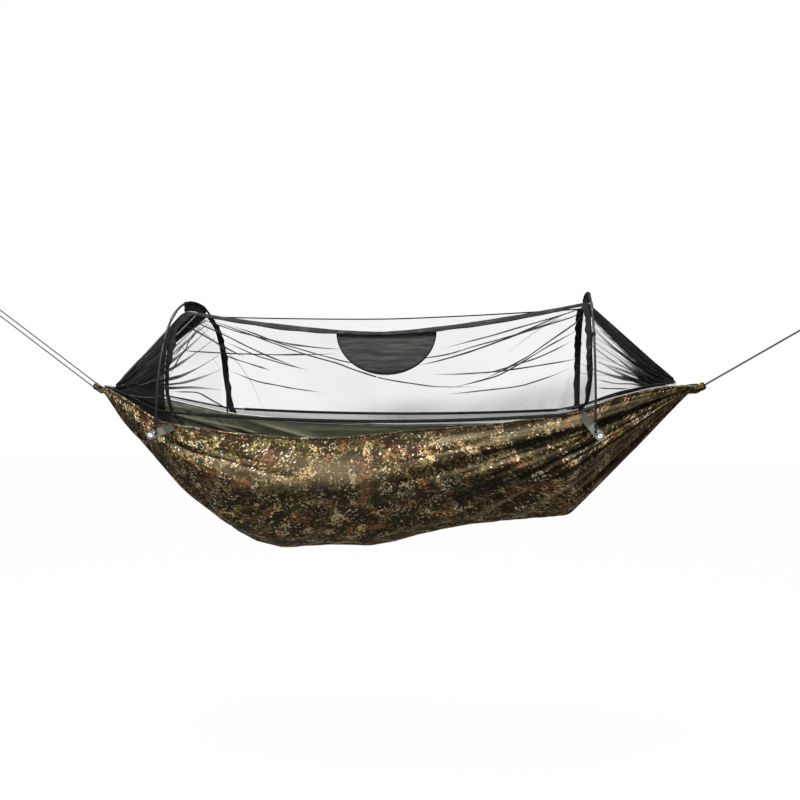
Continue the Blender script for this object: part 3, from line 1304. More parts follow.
def cloth_finish(name, colour, sheen=0.04, weave=1500.0):
    """Woven cloth: fine threads both ways, with soft worn streaks."""
    look = Finish(name, Sheen_Weight=sheen, Sheen_Roughness=0.35, Roughness=0.75, Specular_IOR_Level=0.15)
    place = look.place()
    x, y, z = look.split(place)
    threads = (x * weave).sine() * ((y + z) * weave).sine()
    creased = look.noise(place, 55.0, 4.0, 0.6)
    worn = look.noise(place, 18.0, 3.0)
    pale = tuple(min(c * 2.6 + 0.006, 1) for c in colour)
    look.bump(creased + threads * 0.08, 0.005, 0.9)
    return look.show(Base_Color=look.mix(worn.between(0.45, 0.8), colour, pale), Roughness=0.62 + 0.2 * worn)


black_cloth = cloth_finish("black_cloth", (0.004, 0.004, 0.0043), 0.01)
first = crown_turn(CROWN_SLEEVE_HALF)
lengths = np.linspace(length_at(first), length_at(math.pi - first), 96)
turns = turn_at(lengths)
web = net_gap(turns) - SOLID_NET_HALF - SEWN_GAP
bow = np.linspace(-math.pi * 0.80, math.pi * 0.80, 17)
for end, word in ENDS:
    wall = (POLE_BORE + SLEEVE_WALL) * (1 + 0.16 * soft_noise(lengths * 55, end * 2.0, 0.0))
    outline = np.zeros((len(lengths), len(bow) + 2 * WEB_ROWS, 2))
    outline[:, : len(bow)] = wall[:, None, None] * np.stack([np.sin(bow), np.cos(bow)], axis=-1)
    for k in range(WEB_ROWS):
        depth = (k + 1) / WEB_ROWS
        low = -(wall + (web - wall) * depth)
        wave = WEB_WAVE * depth * soft_noise(lengths * 38, depth * 0.8, end * 7.0)
        thick = WEB_THICKNESS + WEB_PUCKER * soft_noise(lengths * 60, depth * 2, end * 11.0)
        outline[:, len(bow) + k] = np.stack([wave + thick / 2, low], axis=-1)
        outline[:, -1 - k] = np.stack([wave - thick / 2, low], axis=-1)
    hole_turns = np.linspace(-math.pi, math.pi, outline.shape[1] + 1)[:-1] + 0.35
    hole = np.broadcast_to(POLE_BORE * np.stack([np.sin(hole_turns), np.cos(hole_turns)], -1), outline.shape)
    centre, outward = arch_point(end, turns), arch_outward(end, turns)
    rings, bore = (
        centre[:, None] + np.array(X_AXIS) * spots[..., :1] + outward[:, None] * spots[..., 1:]
        for spots in (outline, hole)
    )
    crown = Shape()
    crown.sleeve(rings, bore)
    crown.make(f"{word}_crown_channel", black_cloth, f"{word}_hoop", [f"{word}_crown_sleeve"], "black_cloth",
               sharp=SOFT_EDGE)


# Bands and ties. A strip of black cloth is gathered down the net inside each leg of the poles, and a
# webbing loop ties the leg to it two thirds of the way up.
BAND_LEAN = {(-1, -1): (0.080, 0.30), (1, -1): (0.044, 0.33), (-1, 1): (0.045, 0.45), (1, 1): (0.020, 0.45)}
BAND_WIDTH = {(-1, -1): 0.036, (1, -1): 0.026, (-1, 1): 0.032, (1, 1): 0.024}
BAND_FULLNESS = {
    (-1, -1): ((0, 0.2, 0.38, 0.55, 0.70, 0.82, 0.92, 1), (0.45, 0.55, 0.50, 0.85, 0.60, 0.95, 1.15, 1.0)),
    (1, -1): ((0, 0.2, 0.5, 0.75, 1), (0.80, 0.75, 0.95, 0.85, 1.2)),
    (-1, 1): ((0, 0.2, 0.5, 1), (1.1, 0.75, 1.0, 0.9)), (1, 1): ((0, 0.2, 0.5, 1), (1.1, 0.75, 1.0, 1.1)),
}
BAND_TOP_ROW = 5.9
BAND_LIFT = 0.0014
BAND_WANDER = 0.0015
BAND_SWELL = 0.0044
BAND_PUCKER = 0.0036
BAND_RIPPLE = 0.0022
BAND_LEAST = 0.0012
BAND_POLE_GAP = 0.0008
LOOP_HEIGHT_SHARE = 0.66
# The loop: place along the pole, radius
LOOP_RINGS = (
    (-0.0070, 0.0052), (-0.0066, 0.0060), (-0.0058, 0.0064), (-0.003, 0.0062), (0, 0.0065), (0.003, 0.0062),
    (0.0058, 0.0064), (0.0066, 0.0060), (0.0070, 0.0052),
)
TAB_OUTLINE = ((-0.006, -0.0008), (0.006, -0.0008), (0.006, 0.0008), (-0.006, 0.0008))
TAB_REACHES = (0.0058, 0.0078, 0.0102)
TAB_LEAN = 0.004


def band_middle(share, width, lean, lean_share):
    """How far out the band's middle is: its outer edge is beside the pole, and leans in near its foot."""
    beside = HOOP_REACH - width / 2 - BAND_POLE_GAP
    return HOOP_REACH - lean + (beside - HOOP_REACH + lean) * ease(share / lean_share)


def on_leg(x, row, side):
    """A point of the net beside a pole's leg: row 0 is the hem, row 1 the zip's line, row 6 the seam."""
    low = mixed(hem_top(x, side), skirt_top(x, side), np.clip(row, 0, 1))
    high = net_wall(x, side, np.clip((row - 1) / 5, 0, 1), folded=False)
    return np.where((row < 1)[..., None], low, high)


loop_places, loop_radii = np.array(LOOP_RINGS).T
row = np.linspace(0.02, BAND_TOP_ROW, 110)
across = np.linspace(-1, 1, 9)
for end, side, word, name in LEGS:
    width = BAND_WIDTH[(end, side)]
    places, widths = BAND_FULLNESS[(end, side)]
    pinch = np.interp(row / BAND_TOP_ROW, places, widths)
    pinch = pinch * (1 + 0.16 * soft_noise(row * 3.1, end * 3.0, side * 5.0))
    middle = band_middle(row / BAND_TOP_ROW, width * pinch, *BAND_LEAN[(end, side)])
    middle = middle - BAND_WANDER * (1 + soft_noise(row * 1.4, end * 6.0, side * 2.0))
    x = end * (middle[:, None] + width / 2 * 0.92 * pinch[:, None] * across)
    rows = np.broadcast_to(row[:, None], x.shape)
    base = on_leg(x, rows, side)
    ahead = unit(np.gradient(base, axis=0))
    outward = unit(points_of(0, side * ahead[..., 2], -side * ahead[..., 1]))
    swell = BAND_SWELL + BAND_PUCKER * soft_noise(rows * 7.5, across * 1.1, end * 4.0 + side)
    swell = swell + BAND_RIPPLE * soft_noise(rows * 17, across * 2, end + side * 8.0)
    swell = np.maximum(swell, BAND_LEAST) * (0.35 + 0.65 * (1 - across**4))
    lower = base + outward * BAND_LIFT
    band = Shape()
    band.rim(band.grid(lower + outward * swell[..., None]), band.grid(lower))
    band.make(f"{name}_gathered_band", black_cloth, None, [f"{name}_band"], "black_cloth", sharp=SOFT_EDGE,
              blend=hoop_blend(end))

    turn = np.array(on_side(height_turn(LOOP_HEIGHT_SHARE), side))
    loop = Shape()
    ring_on_pole(loop, arch_point(end, turn_at(length_at(turn) + loop_places)), loop_radii)
    inward, lean = -arch_outward(end, turn), np.array((-end * TAB_LEAN, 0, 0))
    tab = [arch_point(end, turn) + inward * reach + lean * step for step, reach in enumerate(TAB_REACHES)]
    loop.rod(tab, TAB_OUTLINE, X_AXIS)
    loop.make(f"{name}_webbing_loop", black_cloth, f"{word}_hoop", [f"{name}_loop"], "black_cloth")


# Roof seams. The roof is sewn to the walls along two seams, each covered by a folded black tape that
# hangs from hoop to hoop. The near one is slack, and its tape lies in soft folds.
SEAM_TAPE_REACH = 0.7705
SEAM_TAPE_WIDTH = 0.013
SEAM_TAPE_PUFF = 0.0016
SEAM_TAPE_LIFT = 0.00175
SEAM_TILT = {-1: math.radians(68), 1: math.radians(35)}
charcoal_cloth = cloth_finish("charcoal_tape", (0.020, 0.021, 0.021))
across = np.linspace(-1, 1, 7)
for side, side_word in SIDES:
    loose = 1 if side < 0 else 0
    up = np.array((0, side * math.sin(SEAM_TILT[side]), math.cos(SEAM_TILT[side])))
    aside = np.array((0, up[2], -up[1]))
    for end, word in ENDS:
        x = end * np.linspace(0, SEAM_TAPE_REACH, 130)
        hangs = 0.45 + 0.55 * stretch(np.abs(x), 0.03, 0.25, 0.72, 0.3)
        ruffle = 0.95 * hangs + 0.25 * soft_noise(x * 9, side * 3.0, 0.0)
        width = SEAM_TAPE_WIDTH * (0.55 + loose * (0.20 + ruffle))
        bumps = SEAM_TAPE_PUFF * (1 + loose * (1 + soft_noise(x[:, None] * 30, across * 1.3, side * 5.0)))
        bumps = bumps * (0.4 + 0.6 * (1 - across**4))
        drop = loose * 0.30 * (SEAM_TAPE_WIDTH - width)
        base = seam_line(x, side)[:, None] + up * SEAM_TAPE_LIFT
        base = base + aside * (width[:, None] * across / 2 + drop[:, None])[..., None]
        tape = Shape()
        tape.rim(tape.grid(base + up * bumps[..., None]), tape.grid(base))
        tape.make(f"{side_word}_seam_tape_{word}", charcoal_cloth, None, [f"{side_word}_roof_seam"],
                  "black_cloth", sharp=SOFT_EDGE, blend=hoop_blend(end))


# Net folds. Where the mesh hangs slack it doubles into thin dark folds that run from the crowns into
# the middle of each wall. Each one is a narrow tapered roll of mesh.
FOLD_STEP = 0.008
FOLD_WANDER = 0.004
FOLD_LIFT = 0.0012
LEAST_FOLD = 0.0004
LEAST_POINTS = 4
WALL_FOLD_WIDTH = 0.0032
CONE_FOLD_WIDTH = 0.0085
CONE_LINE_WIDTH = 0.0028
CONE_EDGE_WIDTH = 0.0024
SEAM_END_START = 0.6905
SEAM_END_WIDTH = 0.0042
SEAM_END_GAP = 0.01
# The folds of each side: x and share of the wall's height, point by point
WALL_FOLDS = {
    -1: (
        ((-0.76, 0.97), (-0.645, 0.90), (-0.305, 0.70), (-0.155, 0.625), (0.015, 0.475), (0.205, 0.35),
         (0.455, 0.25)),
        ((-0.765, 0.55), (-0.715, 0.45), (-0.50, 0.57), (-0.305, 0.675), (-0.135, 0.75)),
        ((-0.60, 0.52), (-0.555, 0.50), (-0.385, 0.45)),
        ((-0.765, 0.45), (-0.715, 0.675), (-0.675, 0.96)),
        ((-0.765, 0.32), (-0.705, 0.575), (-0.665, 0.875)),
        ((-0.765, 0.20), (-0.715, 0.45), (-0.69, 0.80)),
        ((-0.76, 0.12), (-0.645, 0.15), (-0.505, 0.03)),
        ((0.77, 0.95), (0.735, 0.875), (0.495, 0.825), (0.225, 0.75)),
        ((0.77, 0.88), (0.735, 0.775), (0.535, 0.75), (0.195, 0.60)),
        ((0.77, 0.80), (0.735, 0.675), (0.565, 0.475), (0.365, 0.325)),
        ((0.765, 0.30), (0.715, 0.325), (0.455, 0.40), (0.195, 0.475)),
        ((0.77, 0.92), (0.60, 0.80), (0.35, 0.66), (0.10, 0.58)),
        ((0.765, 0.60), (0.62, 0.50), (0.45, 0.36), (0.25, 0.30)),
        ((-0.765, 0.85), (-0.60, 0.74), (-0.42, 0.60), (-0.28, 0.52)),
        ((-0.765, 0.75), (-0.62, 0.62), (-0.48, 0.52)),
        ((-0.76, 0.92), (-0.55, 0.82), (-0.34, 0.78), (-0.10, 0.80)),
    ),
    1: (
        ((-0.76, 0.90), (-0.50, 0.70), (-0.20, 0.55), (0.10, 0.50)),
        ((-0.76, 0.60), (-0.60, 0.50), (-0.35, 0.42)),
        ((0.765, 0.90), (0.55, 0.76), (0.25, 0.62), (0.0, 0.55)),
        ((0.765, 0.55), (0.60, 0.45), (0.35, 0.36)),
        ((-0.765, 0.30), (-0.60, 0.24), (-0.30, 0.20)),
        ((0.765, 0.30), (0.55, 0.22), (0.20, 0.20)),
    ),
}
CONE_FOLDS = {
    -1: (
        ((0.79, 0.90), (0.94, 0.78), (1.095, 0.50)), ((0.79, 0.80), (0.93, 0.68), (1.09, 0.44)),
        ((0.79, 0.72), (0.90, 0.60), (1.0, 0.50), (1.075, 0.40)),
        ((0.79, 0.66), (0.88, 0.53), (0.94, 0.42), (1.04, 0.30)),
        ((0.79, 0.45), (0.894, 0.40), (0.946, 0.34), (1.055, 0.20)),
        ((0.79, 0.40), (0.874, 0.325), (0.946, 0.215), (1.013, 0.02)),
        ((0.85, 0.38), (0.93, 0.30), (1.0, 0.14), (1.04, 0.06)),
        ((0.80, 0.25), (0.877, 0.213), (0.95, 0.17), (1.0, 0.05)),
        ((0.805, 0.25), (0.892, 0.163), (0.944, 0.10), (0.99, 0.01)),
        ((-0.79, 0.92), (-0.95, 0.80), (-1.09, 0.55)), ((-0.79, 0.70), (-0.95, 0.58), (-1.09, 0.42)),
        ((-0.79, 0.50), (-0.94, 0.42), (-1.08, 0.30)), ((-0.79, 0.28), (-0.94, 0.20), (-1.08, 0.15)),
    ),
    1: (
        ((-0.79, 0.99), (-0.92, 0.90), (-1.09, 0.60)), ((-0.79, 0.93), (-0.92, 0.80), (-1.09, 0.52)),
        ((-0.79, 0.80), (-0.92, 0.66), (-1.09, 0.45)), ((-0.79, 0.62), (-0.93, 0.50), (-1.09, 0.38)),
        ((-0.79, 0.42), (-0.93, 0.30), (-1.08, 0.26)), ((-0.79, 0.28), (-0.93, 0.20), (-1.08, 0.18)),
        ((-0.79, 0.12), (-0.90, 0.14), (-1.07, 0.12)),
        ((0.79, 0.80), (0.95, 0.60), (1.09, 0.40)), ((0.79, 0.30), (0.95, 0.20), (1.08, 0.16)),
    ),
}
CONE_LINES = {
    -1: (
        ((0.79, 0.13), (0.872, 0.075), (0.936, 0.06), (0.97, 0.02)),
        ((0.79, 0.08), (0.85, 0.045), (0.925, 0.01)),
    ),
    1: (((0.79, 0.55), (0.93, 0.40), (1.08, 0.26)),),
}
CONE_EDGES = {
    -1: (
        ((-0.80, 0.41), (-0.92, 0.425), (-1.03, 0.45)),
        ((-0.82, 0.24), (-0.894, 0.188), (-0.983, 0.163), (-1.09, 0.28)),
        ((-0.82, 0.09), (-0.912, 0.05), (-0.975, 0.015), (-1.03, 0.012)),
        ((-0.81, 0.62), (-0.93, 0.56), (-1.08, 0.46)),
        ((0.80, 0.80), (0.93, 0.70), (1.08, 0.46)),
        ((0.79, 0.615), (0.86, 0.50), (0.93, 0.40), (1.065, 0.39)),
        ((0.925, 0.075), (0.955, 0.03), (0.985, 0.012), (1.03, 0.012), (1.10, 0.02)),
    ),
    1: (),
}



def folded_net_finish(name, dark, light):
    look = Finish(name, Roughness=0.8, Specular_IOR_Level=0.2)
    far, around, _ = look.split(look.flat())
    uneven = look.noise(look.join(far * 40, around * 2), 1.0, 2.0)
    taper = look.attribute("taper")
    colour = look.mix(uneven.between(0.3, 0.7), dark, light)
    return look.show(Base_Color=colour, Alpha=(taper * (0.45 + 0.6 * uneven)).least(1.0))


def fold_rolls(shape, folds, side, width, lo, hi, wedge=False):
    """Tapered rolls along lines of (x, share) on one wall, kept between two values of x."""
    for step, fold in enumerate(folds):
        pairs = resampled([(x, share, 0) for x, share in fold], FOLD_STEP, 6)
        inside = (pairs[:, 0] >= lo) & (pairs[:, 0] <= hi)
        if inside.sum() < LEAST_POINTS:
            continue
        x, height = pairs[inside, 0], pairs[inside, 1]
        share = np.linspace(0, 1, len(pairs))[inside]
        wander = FOLD_WANDER * soft_noise(x * 7, step * 3.0, side * 2.0)
        path = net_wall(x, side, np.clip(height + wander, 0.01, 0.99)) + (0, side * FOLD_LIFT, 0)
        taper = 0.3 + 0.7 * ease(share * 1.5) if wedge else np.clip(np.sin(math.pi * share) * 1.6, 0.12, 1)
        size = np.maximum(width * taper * (0.8 + 0.35 * soft_noise(x * 11, step * 5.0, 1.0)), LEAST_FOLD)
        shape.rod(path, round_outline(1, 6, 0.45), (0, side, 0), size, mapped=True, taper=taper[:, None])


folded_net = folded_net_finish("folded_net", (0.005, 0.005, 0.0055), (0.018, 0.018, 0.020))
net_edge = folded_net_finish("net_edge", (0.060, 0.060, 0.062), (0.160, 0.160, 0.165))
for end, word in ENDS:
    half_folds, cone_folds, cone_edges = Shape(), Shape(), Shape()
    inner, outer = (sorted((end * lo, end * hi)) for lo, hi in ((0, HOOP_REACH), (HOOP_REACH, NET_END)))
    for side, _ in SIDES:
        fold_rolls(half_folds, WALL_FOLDS[side], side, WALL_FOLD_WIDTH, *inner)
        fold_rolls(cone_folds, CONE_FOLDS[side], side, CONE_FOLD_WIDTH, *outer, wedge=True)
        fold_rolls(cone_folds, CONE_LINES[side], side, CONE_LINE_WIDTH, *outer)
        fold_rolls(cone_edges, CONE_EDGES[side], side, CONE_EDGE_WIDTH, *outer)
    for folds, kind, finish in (
        (half_folds, "net_folds", folded_net), (cone_folds, "cone_folds", folded_net),
        (cone_edges, "cone_edges", net_edge),
    ):
        blend = hoop_blend(end, cone=kind != "net_folds")
        folds.make(f"{word}_{kind}", finish, None, [], "black_net", sharp=SOFT_EDGE, blend=blend)
seam_ends = Shape()
for side, _ in SIDES:
    for end, _ in ENDS:
        x = end * np.linspace(SEAM_END_START, NET_END - SEAM_END_GAP, 60)
        path = skirt_top(x, side) + (0, side * 2 * FOLD_LIFT, 0)
        size = SEAM_END_WIDTH * (0.85 + 0.25 * soft_noise(x * 14, side * 2.0, end * 3.0))
        seam_ends.rod(path, round_outline(1, 8, 0.6), (0, side, 0), size, mapped=True, taper=1.7)
seam_ends.make("skirt_seam_ends", folded_net, "hammock", [], "black_net", sharp=SOFT_EDGE)


# Zips. A black coil zip on woven tape runs along the foot of the net on each side. Each has a moulded
# slider and a flat pull that swings on the slider's bridge.
ZIP_TAPE_REACH = 0.690
ZIP_TAPE_WIDTH = 0.012
ZIP_TAPE_THICKNESS = 0.0012
ZIP_EDGE_ROUNDING = 0.0005
COIL_HEIGHT = 0.0016
COIL_LIFT = 0.0006
COIL_HALF_SPREAD = 0.0013
COIL_LOOP = (0.0021, 0.0015, 0.0020, 0.0034)
ZIP_STITCH = (0.0045, 0.0032, 0.0007, 0.0007)
ZIP_STITCH_LIFT = 0.0001
ZIP_STITCH_HALF_SPREAD = 0.0048
SLIDER_REST = 0.660
SLIDER_THICKNESS = 0.004
BRIDGE_RADIUS = 0.005
BRIDGE_FOOT = 0.0036
PULL_AXIS_HEIGHT = SLIDER_THICKNESS + 0.0013
MM = 0.001
# Outlines of the slider's plate, its bridge's section, the pull and its eye, in millimetres
PLATE_MM = ((-8, 2.6), (-6.6, 4.4), (-3, 5.2), (1, 5.4), (5.5, 4.4), (7.6, 2.4), (8, 0))
BRIDGE_MM = ((-1.5, -0.35), (-1.15, -0.7), (1.15, -0.7), (1.5, -0.35))
PULL_MM = ((-0.8, 4), (19, 4), (24.6, 2.8), (26, 0))
PULL_EYE_MM = ((0.8, 2.4), (7.8, 2.4), (7.8, 2.2), (7.8, 0))
# Heights of the plate's and the pull's rings, with their sizes
PLATE_LEVELS = ((0, 0.92), (0.0004, 1), (0.0034, 1), (SLIDER_THICKNESS, 0.9))
PULL_LEVELS = ((-0.0008, 0.94), (-0.0005, 1), (0.0005, 1), (0.0008, 0.94))
PULL_MIDDLE = (0.0126, 0)
PULL_RIDGES = (0.0125, 0.0155, 0.0185, 0.0215)
RIDGE_HALF = 0.0028
RIDGE_RADIUS = 0.0004


def mirrored(outline_mm):
    """A closed outline in metres, from the half on one side of its axis."""
    half_outline = np.array(outline_mm) * MM
    return np.concatenate([half_outline, (half_outline * (1, -1))[-2::-1]])


def frame_at(place, *axes):
    """The matrix of a frame from its place and its three axes."""
    held = np.eye(4)
    held[:3] = np.column_stack([*axes, place])
    return Matrix(held)


black_thread = thread_finish("black_thread", (0.02, 0.02, 0.021))
zip_tape_cloth = cloth_finish("zip_tape_cloth", (0.005, 0.005, 0.0055), 0.02, 2600.0)
coil_plastic = plastic_finish("coil_plastic", (0.010, 0.010, 0.011))
coil_tree = line_tree("zip_coil", coil_plastic)
zip_stitch_tree = line_tree("zip_stitch_run", black_thread)
half, thick, edge = ZIP_TAPE_WIDTH / 2, ZIP_TAPE_THICKNESS, ZIP_EDGE_ROUNDING
tape_profile = np.array([
    (-half, 0.0001), (-half, thick - 0.0002), (-half + edge, thick), (half - edge, thick),
    (half, thick - 0.0002), (half, 0.0001), (half - edge, 0), (-half + edge, 0),
])
for side, side_word in SIDES:
    pivot = np.array((0, side * ZIP_HALF_SPREAD, zip_pivot_height(side)))
    line = zip_line(np.linspace(-ZIP_TAPE_REACH, ZIP_TAPE_REACH, 120), side)
    up, out = unit(pivot - line), np.array((0, side, 0.0))
    base = line + out * (SOLID_NET_HALF + SEWN_GAP)
    tape = Shape()
    tape.tube(base[:, None] + up[:, None] * tape_profile[:, :1] + out * tape_profile[:, 1:])
    tape.make(f"{side_word}_zip_tape", zip_tape_cloth, "hammock", [f"{side_word}_zip"], "zip_tape")
    for kind, tree, sizes, finish, lift, spread in (
        ("coil", coil_tree, COIL_LOOP, coil_plastic, COIL_LIFT, COIL_HALF_SPREAD),
        ("stitches", zip_stitch_tree, ZIP_STITCH, black_thread, ZIP_STITCH_LIFT, ZIP_STITCH_HALF_SPREAD),
    ):
        lines = [base + out * (thick + lift) + up * rise for rise in (-spread, spread)]
        along_lines(f"{side_word}_zip_{kind}", lines, tree, sizes, finish)

    line = zip_line(np.array(-SLIDER_REST), side)
    up = unit(pivot - line)
    seat = line + out * (SOLID_NET_HALF + SEWN_GAP + ZIP_TAPE_THICKNESS + COIL_HEIGHT + FIT_GAP)
    seat_frame = frame_at(seat, np.cross(up, out) * -side, up * -side, out)
    plate = [[(x * size, y * size, z) for x, y in mirrored(PLATE_MM)] for z, size in PLATE_LEVELS]
    slider = Shape()
    slider.tube(in_frame(seat_frame, plate))
    arch = [
        (BRIDGE_RADIUS * math.cos(t), 0, PULL_AXIS_HEIGHT + BRIDGE_RADIUS * math.sin(t))
        for t in np.linspace(0, math.pi, 15)
    ]
    arch = [(BRIDGE_RADIUS, 0, BRIDGE_FOOT), *arch, (-BRIDGE_RADIUS, 0, BRIDGE_FOOT)]
    bridge_half = np.array(BRIDGE_MM) * MM
    slider.rod(in_frame(seat_frame, arch), np.concatenate([bridge_half, -bridge_half]), out)
    slider.make(f"{side_word}_slider_body", black_plastic, f"{side_word}_slider", [f"{side_word}_zip_slider"],
                "black_plastic", sharp=FINE_EDGE)

    tab, eye, middle = mirrored(PULL_MM), mirrored(PULL_EYE_MM), np.array(PULL_MIDDLE)
    height = PULL_AXIS_HEIGHT
    outside = [[(*((p - middle) * size + middle), z + height) for p in tab] for z, size in PULL_LEVELS]
    inside = [[(*p, z + height) for p in eye] for z, _ in PULL_LEVELS]
    pull = Shape()
    pull.sleeve(in_frame(seat_frame, outside), in_frame(seat_frame, inside))
    for place in PULL_RIDGES:
        for z in (PULL_LEVELS[0][0], PULL_LEVELS[-1][0]):
            ridge = [(place, y, z + height) for y in (-RIDGE_HALF, RIDGE_HALF)]
            pull.rod(in_frame(seat_frame, ridge), round_outline(RIDGE_RADIUS, 6), out)
    pull.make(f"{side_word}_pull_tab", black_plastic, f"{side_word}_pull", [f"{side_word}_zip_pull"],
              "black_plastic", sharp=FINE_EDGE)


# Foot patches. A tongue of olive-grey webbing is box-stitched to the hem below each leg. Each has two
# nickelled eyelets, and the pole's tip stands in the upper one.
PATCH_WIDTH = 0.030
PATCH_THICKNESS = 0.002
PATCH_TAIL = 0.036
PATCH_CORNER = 0.008
PATCH_HEM_GAP = 0.0062
PATCH_REACH = 0.735
PATCH_TILT = math.radians(60)
PATCH_CURL = 0.0003
PATCH_SEAM_INSET = 0.0022
PATCH_BOX = (
    (-0.010, 0.004), (0.010, 0.004), (0.010, 0.020), (-0.010, 0.020), (-0.010, 0.004), (0.010, 0.020),
)
PATCH_SEAM_START = 0.004
PATCH_SEAM_STOP = 0.010
PATCH_STITCH = (0.0030, 0.0021, 0.0007, 0.0007)
PATCH_BOX_STEP = 0.002
PATCH_SEAM_STEP = 0.004
EYELET_HOLE = 0.0040
EYELET_BARREL = 0.0046
EYELET_FLANGE = 0.0007
EYELET_RIM = 0.00575
EYELET_RIM_HALF_WIDTH = 0.00175
EYELET_RIM_BASE = 0.0013
EYELET_RIM_RISE = 0.0008
EYELET_PITCH = 0.022


def webbing_finish():
    look = Finish("olive_webbing", Roughness=0.7, Sheen_Weight=0.3, Sheen_Roughness=0.4)
    far, wide, _ = look.split(look.flat())
    herring = (wide * 3300 + (far * 2100).sine() * 1.6).sine()
    cross = (far * 3600).sine()
    weave = herring * 0.6 + cross * 0.4
    dirt = look.noise(look.place(), 45.0, 3.0)
    base = look.mix(weave.between(-0.6, 0.7), (0.060, 0.060, 0.050), (0.190, 0.190, 0.160))
    base = look.mix(far.between(-0.040, -0.028), (0.022, 0.026, 0.016), base)
    look.bump(weave, 0.0004, 0.8)
    return look.show(Base_Color=look.mix(dirt.between(0.45, 0.8) * 0.6, base, (0.095, 0.090, 0.070)))


def patch_frame(end, side):
    foot = np.array((end * HOOP_REACH, side * POLE_HALF_SPREAD, -FOOT_DROP[end]))
    root = hem_centre(np.array(end * PATCH_REACH), side)
    along = unit(foot - root)
    level = unit(np.array((0, 0, 1.0)) - along * along[2])
    outward = np.cross(along, level) * -end * side
    normal = level * math.cos(PATCH_TILT) + outward * math.sin(PATCH_TILT)
    width = np.cross(along, normal)
    ball_rise = math.sqrt(TIP_BALL_RADIUS**2 - EYELET_HOLE**2)
    above = PATCH_THICKNESS / 2 + FIT_GAP + EYELET_FLANGE + ball_rise + FIT_GAP
    return width, along, normal, foot - normal * above, float(np.linalg.norm(foot - root))


olive_webbing = webbing_finish()
nickel = alloy_finish("nickelled_eyelet", (0.78, 0.77, 0.74), (0.52, 0.52, 0.51))
webbing_thread = thread_finish("webbing_thread", (0.10, 0.10, 0.085))
patch_stitch_tree = line_tree("patch_stitch_run", webbing_thread)
half = PATCH_WIDTH / 2
rim = [
    (EYELET_RIM + EYELET_RIM_HALF_WIDTH * math.cos(t), EYELET_RIM_BASE + EYELET_RIM_RISE * math.sin(t))
    for t in np.linspace(0, math.pi, 7)
]
eyelet_profile = [
    *rim, (EYELET_HOLE, -EYELET_RIM_BASE), *[(r, -h) for r, h in rim[-2::-1]],
    (EYELET_BARREL, -PATCH_THICKNESS / 2), (EYELET_BARREL, PATCH_THICKNESS / 2), rim[0],
]
for end, side, _, name in LEGS:
    width, along, normal, centre, reach = patch_frame(end, side)
    top = PATCH_HEM_GAP - reach
    rows = []
    for tail in np.linspace(top, PATCH_TAIL, 40):
        rounding = max(tail - PATCH_TAIL + PATCH_CORNER, 0)
        inset = PATCH_CORNER - math.sqrt(max(PATCH_CORNER**2 - rounding**2, 0))
        rows.append([(share * (half - inset), tail) for share in np.linspace(-1, 1, 15)])
    rows = np.array(rows)
    curl = PATCH_CURL * soft_noise(rows[..., 1] * 60, rows[..., 0] * 40, end * 2.0 + side)
    flat_points = centre + width * rows[..., :1] + along * rows[..., 1:] + normal * curl[..., None]
    webbing = Shape()
    facing = np.broadcast_to(normal, flat_points.shape)
    sheet_layers(webbing, flat_points, rows[..., ::-1], PATCH_THICKNESS, facing)
    webbing.make(f"{name}_webbing_patch", olive_webbing, "hammock", [f"{name}_patch"], "grey_webbing")

    seam_start = top + PATCH_SEAM_START
    routes = [([(a, seam_start + b) for a, b in PATCH_BOX], PATCH_BOX_STEP)]
    for aside in (PATCH_SEAM_INSET - half, half - PATCH_SEAM_INSET):
        routes.append(([(aside, seam_start), (aside, PATCH_TAIL - PATCH_SEAM_STOP)], PATCH_SEAM_STEP))
    high = centre + normal * (PATCH_THICKNESS / 2 + FIT_GAP)
    seams = [resampled([high + width * a + along * b for a, b in route], step) for route, step in routes]
    along_lines(f"{name}_patch_stitches", seams, patch_stitch_tree, PATCH_STITCH, webbing_thread)
    patch_matrix = frame_at(centre, width, along, normal)
    for kind, place in (("eyelet", 0.0), ("spare_eyelet", EYELET_PITCH)):
        ring = Shape()
        spot = patch_matrix @ Matrix.Translation((0, place, 0))
        ring.grid(turned_rings(eyelet_profile, 32, spot), wrap=True)
        ring.make(f"{name}_{kind}_ring", nickel, "hammock", [f"{name}_{kind}"], "eyelet_metal")


# Pocket. A half-round pocket of dark grey-green cloth hangs inside the net under the near roof seam. Its
# curved edge is bound with black tape.
POCKET_CENTRE = 0.020
POCKET_WIDTH = 0.390
POCKET_DEPTH = 0.160
POCKET_BINDING = 0.006
POCKET_CLOTH = 0.0010
POCKET_INSET = 0.003
POCKET_SEAM_GAP = 0.0015
POCKET_STITCH_LIFT = 0.0023
POCKET_WRINKLE = 0.0016
POCKET_RIPPLE = 0.0012
POCKET_STITCH = (0.0040, 0.0028, 0.0006, 0.0006)
# The pocket's panels: word, the side that each faces, how far it puffs out
POCKET_PANELS = (("front", -1, 0.0022), ("back", 1, 0.0004))
middle = seam_line(np.array(POCKET_CENTRE), -1)
pocket_y = middle[1] + POCKET_INSET
half = POCKET_WIDTH / 2


def pocket_top(x):
    return seam_line(x + POCKET_CENTRE, -1)[..., 2] - SOLID_NET_HALF - POCKET_SEAM_GAP


def pocket_corner(wide):
    """Height at which the round edge starts: the lower of its two ends."""
    return float(pocket_top(np.array((-wide, wide))).min())


def pocket_edge(x, inset):
    """Height of the pocket's round edge at x from its middle."""
    wide = half - inset
    corner = pocket_corner(wide)
    depth = np.sqrt(np.maximum(1 - (x / wide) ** 2, 0))
    return corner + (middle[2] - POCKET_DEPTH + inset - corner) * depth


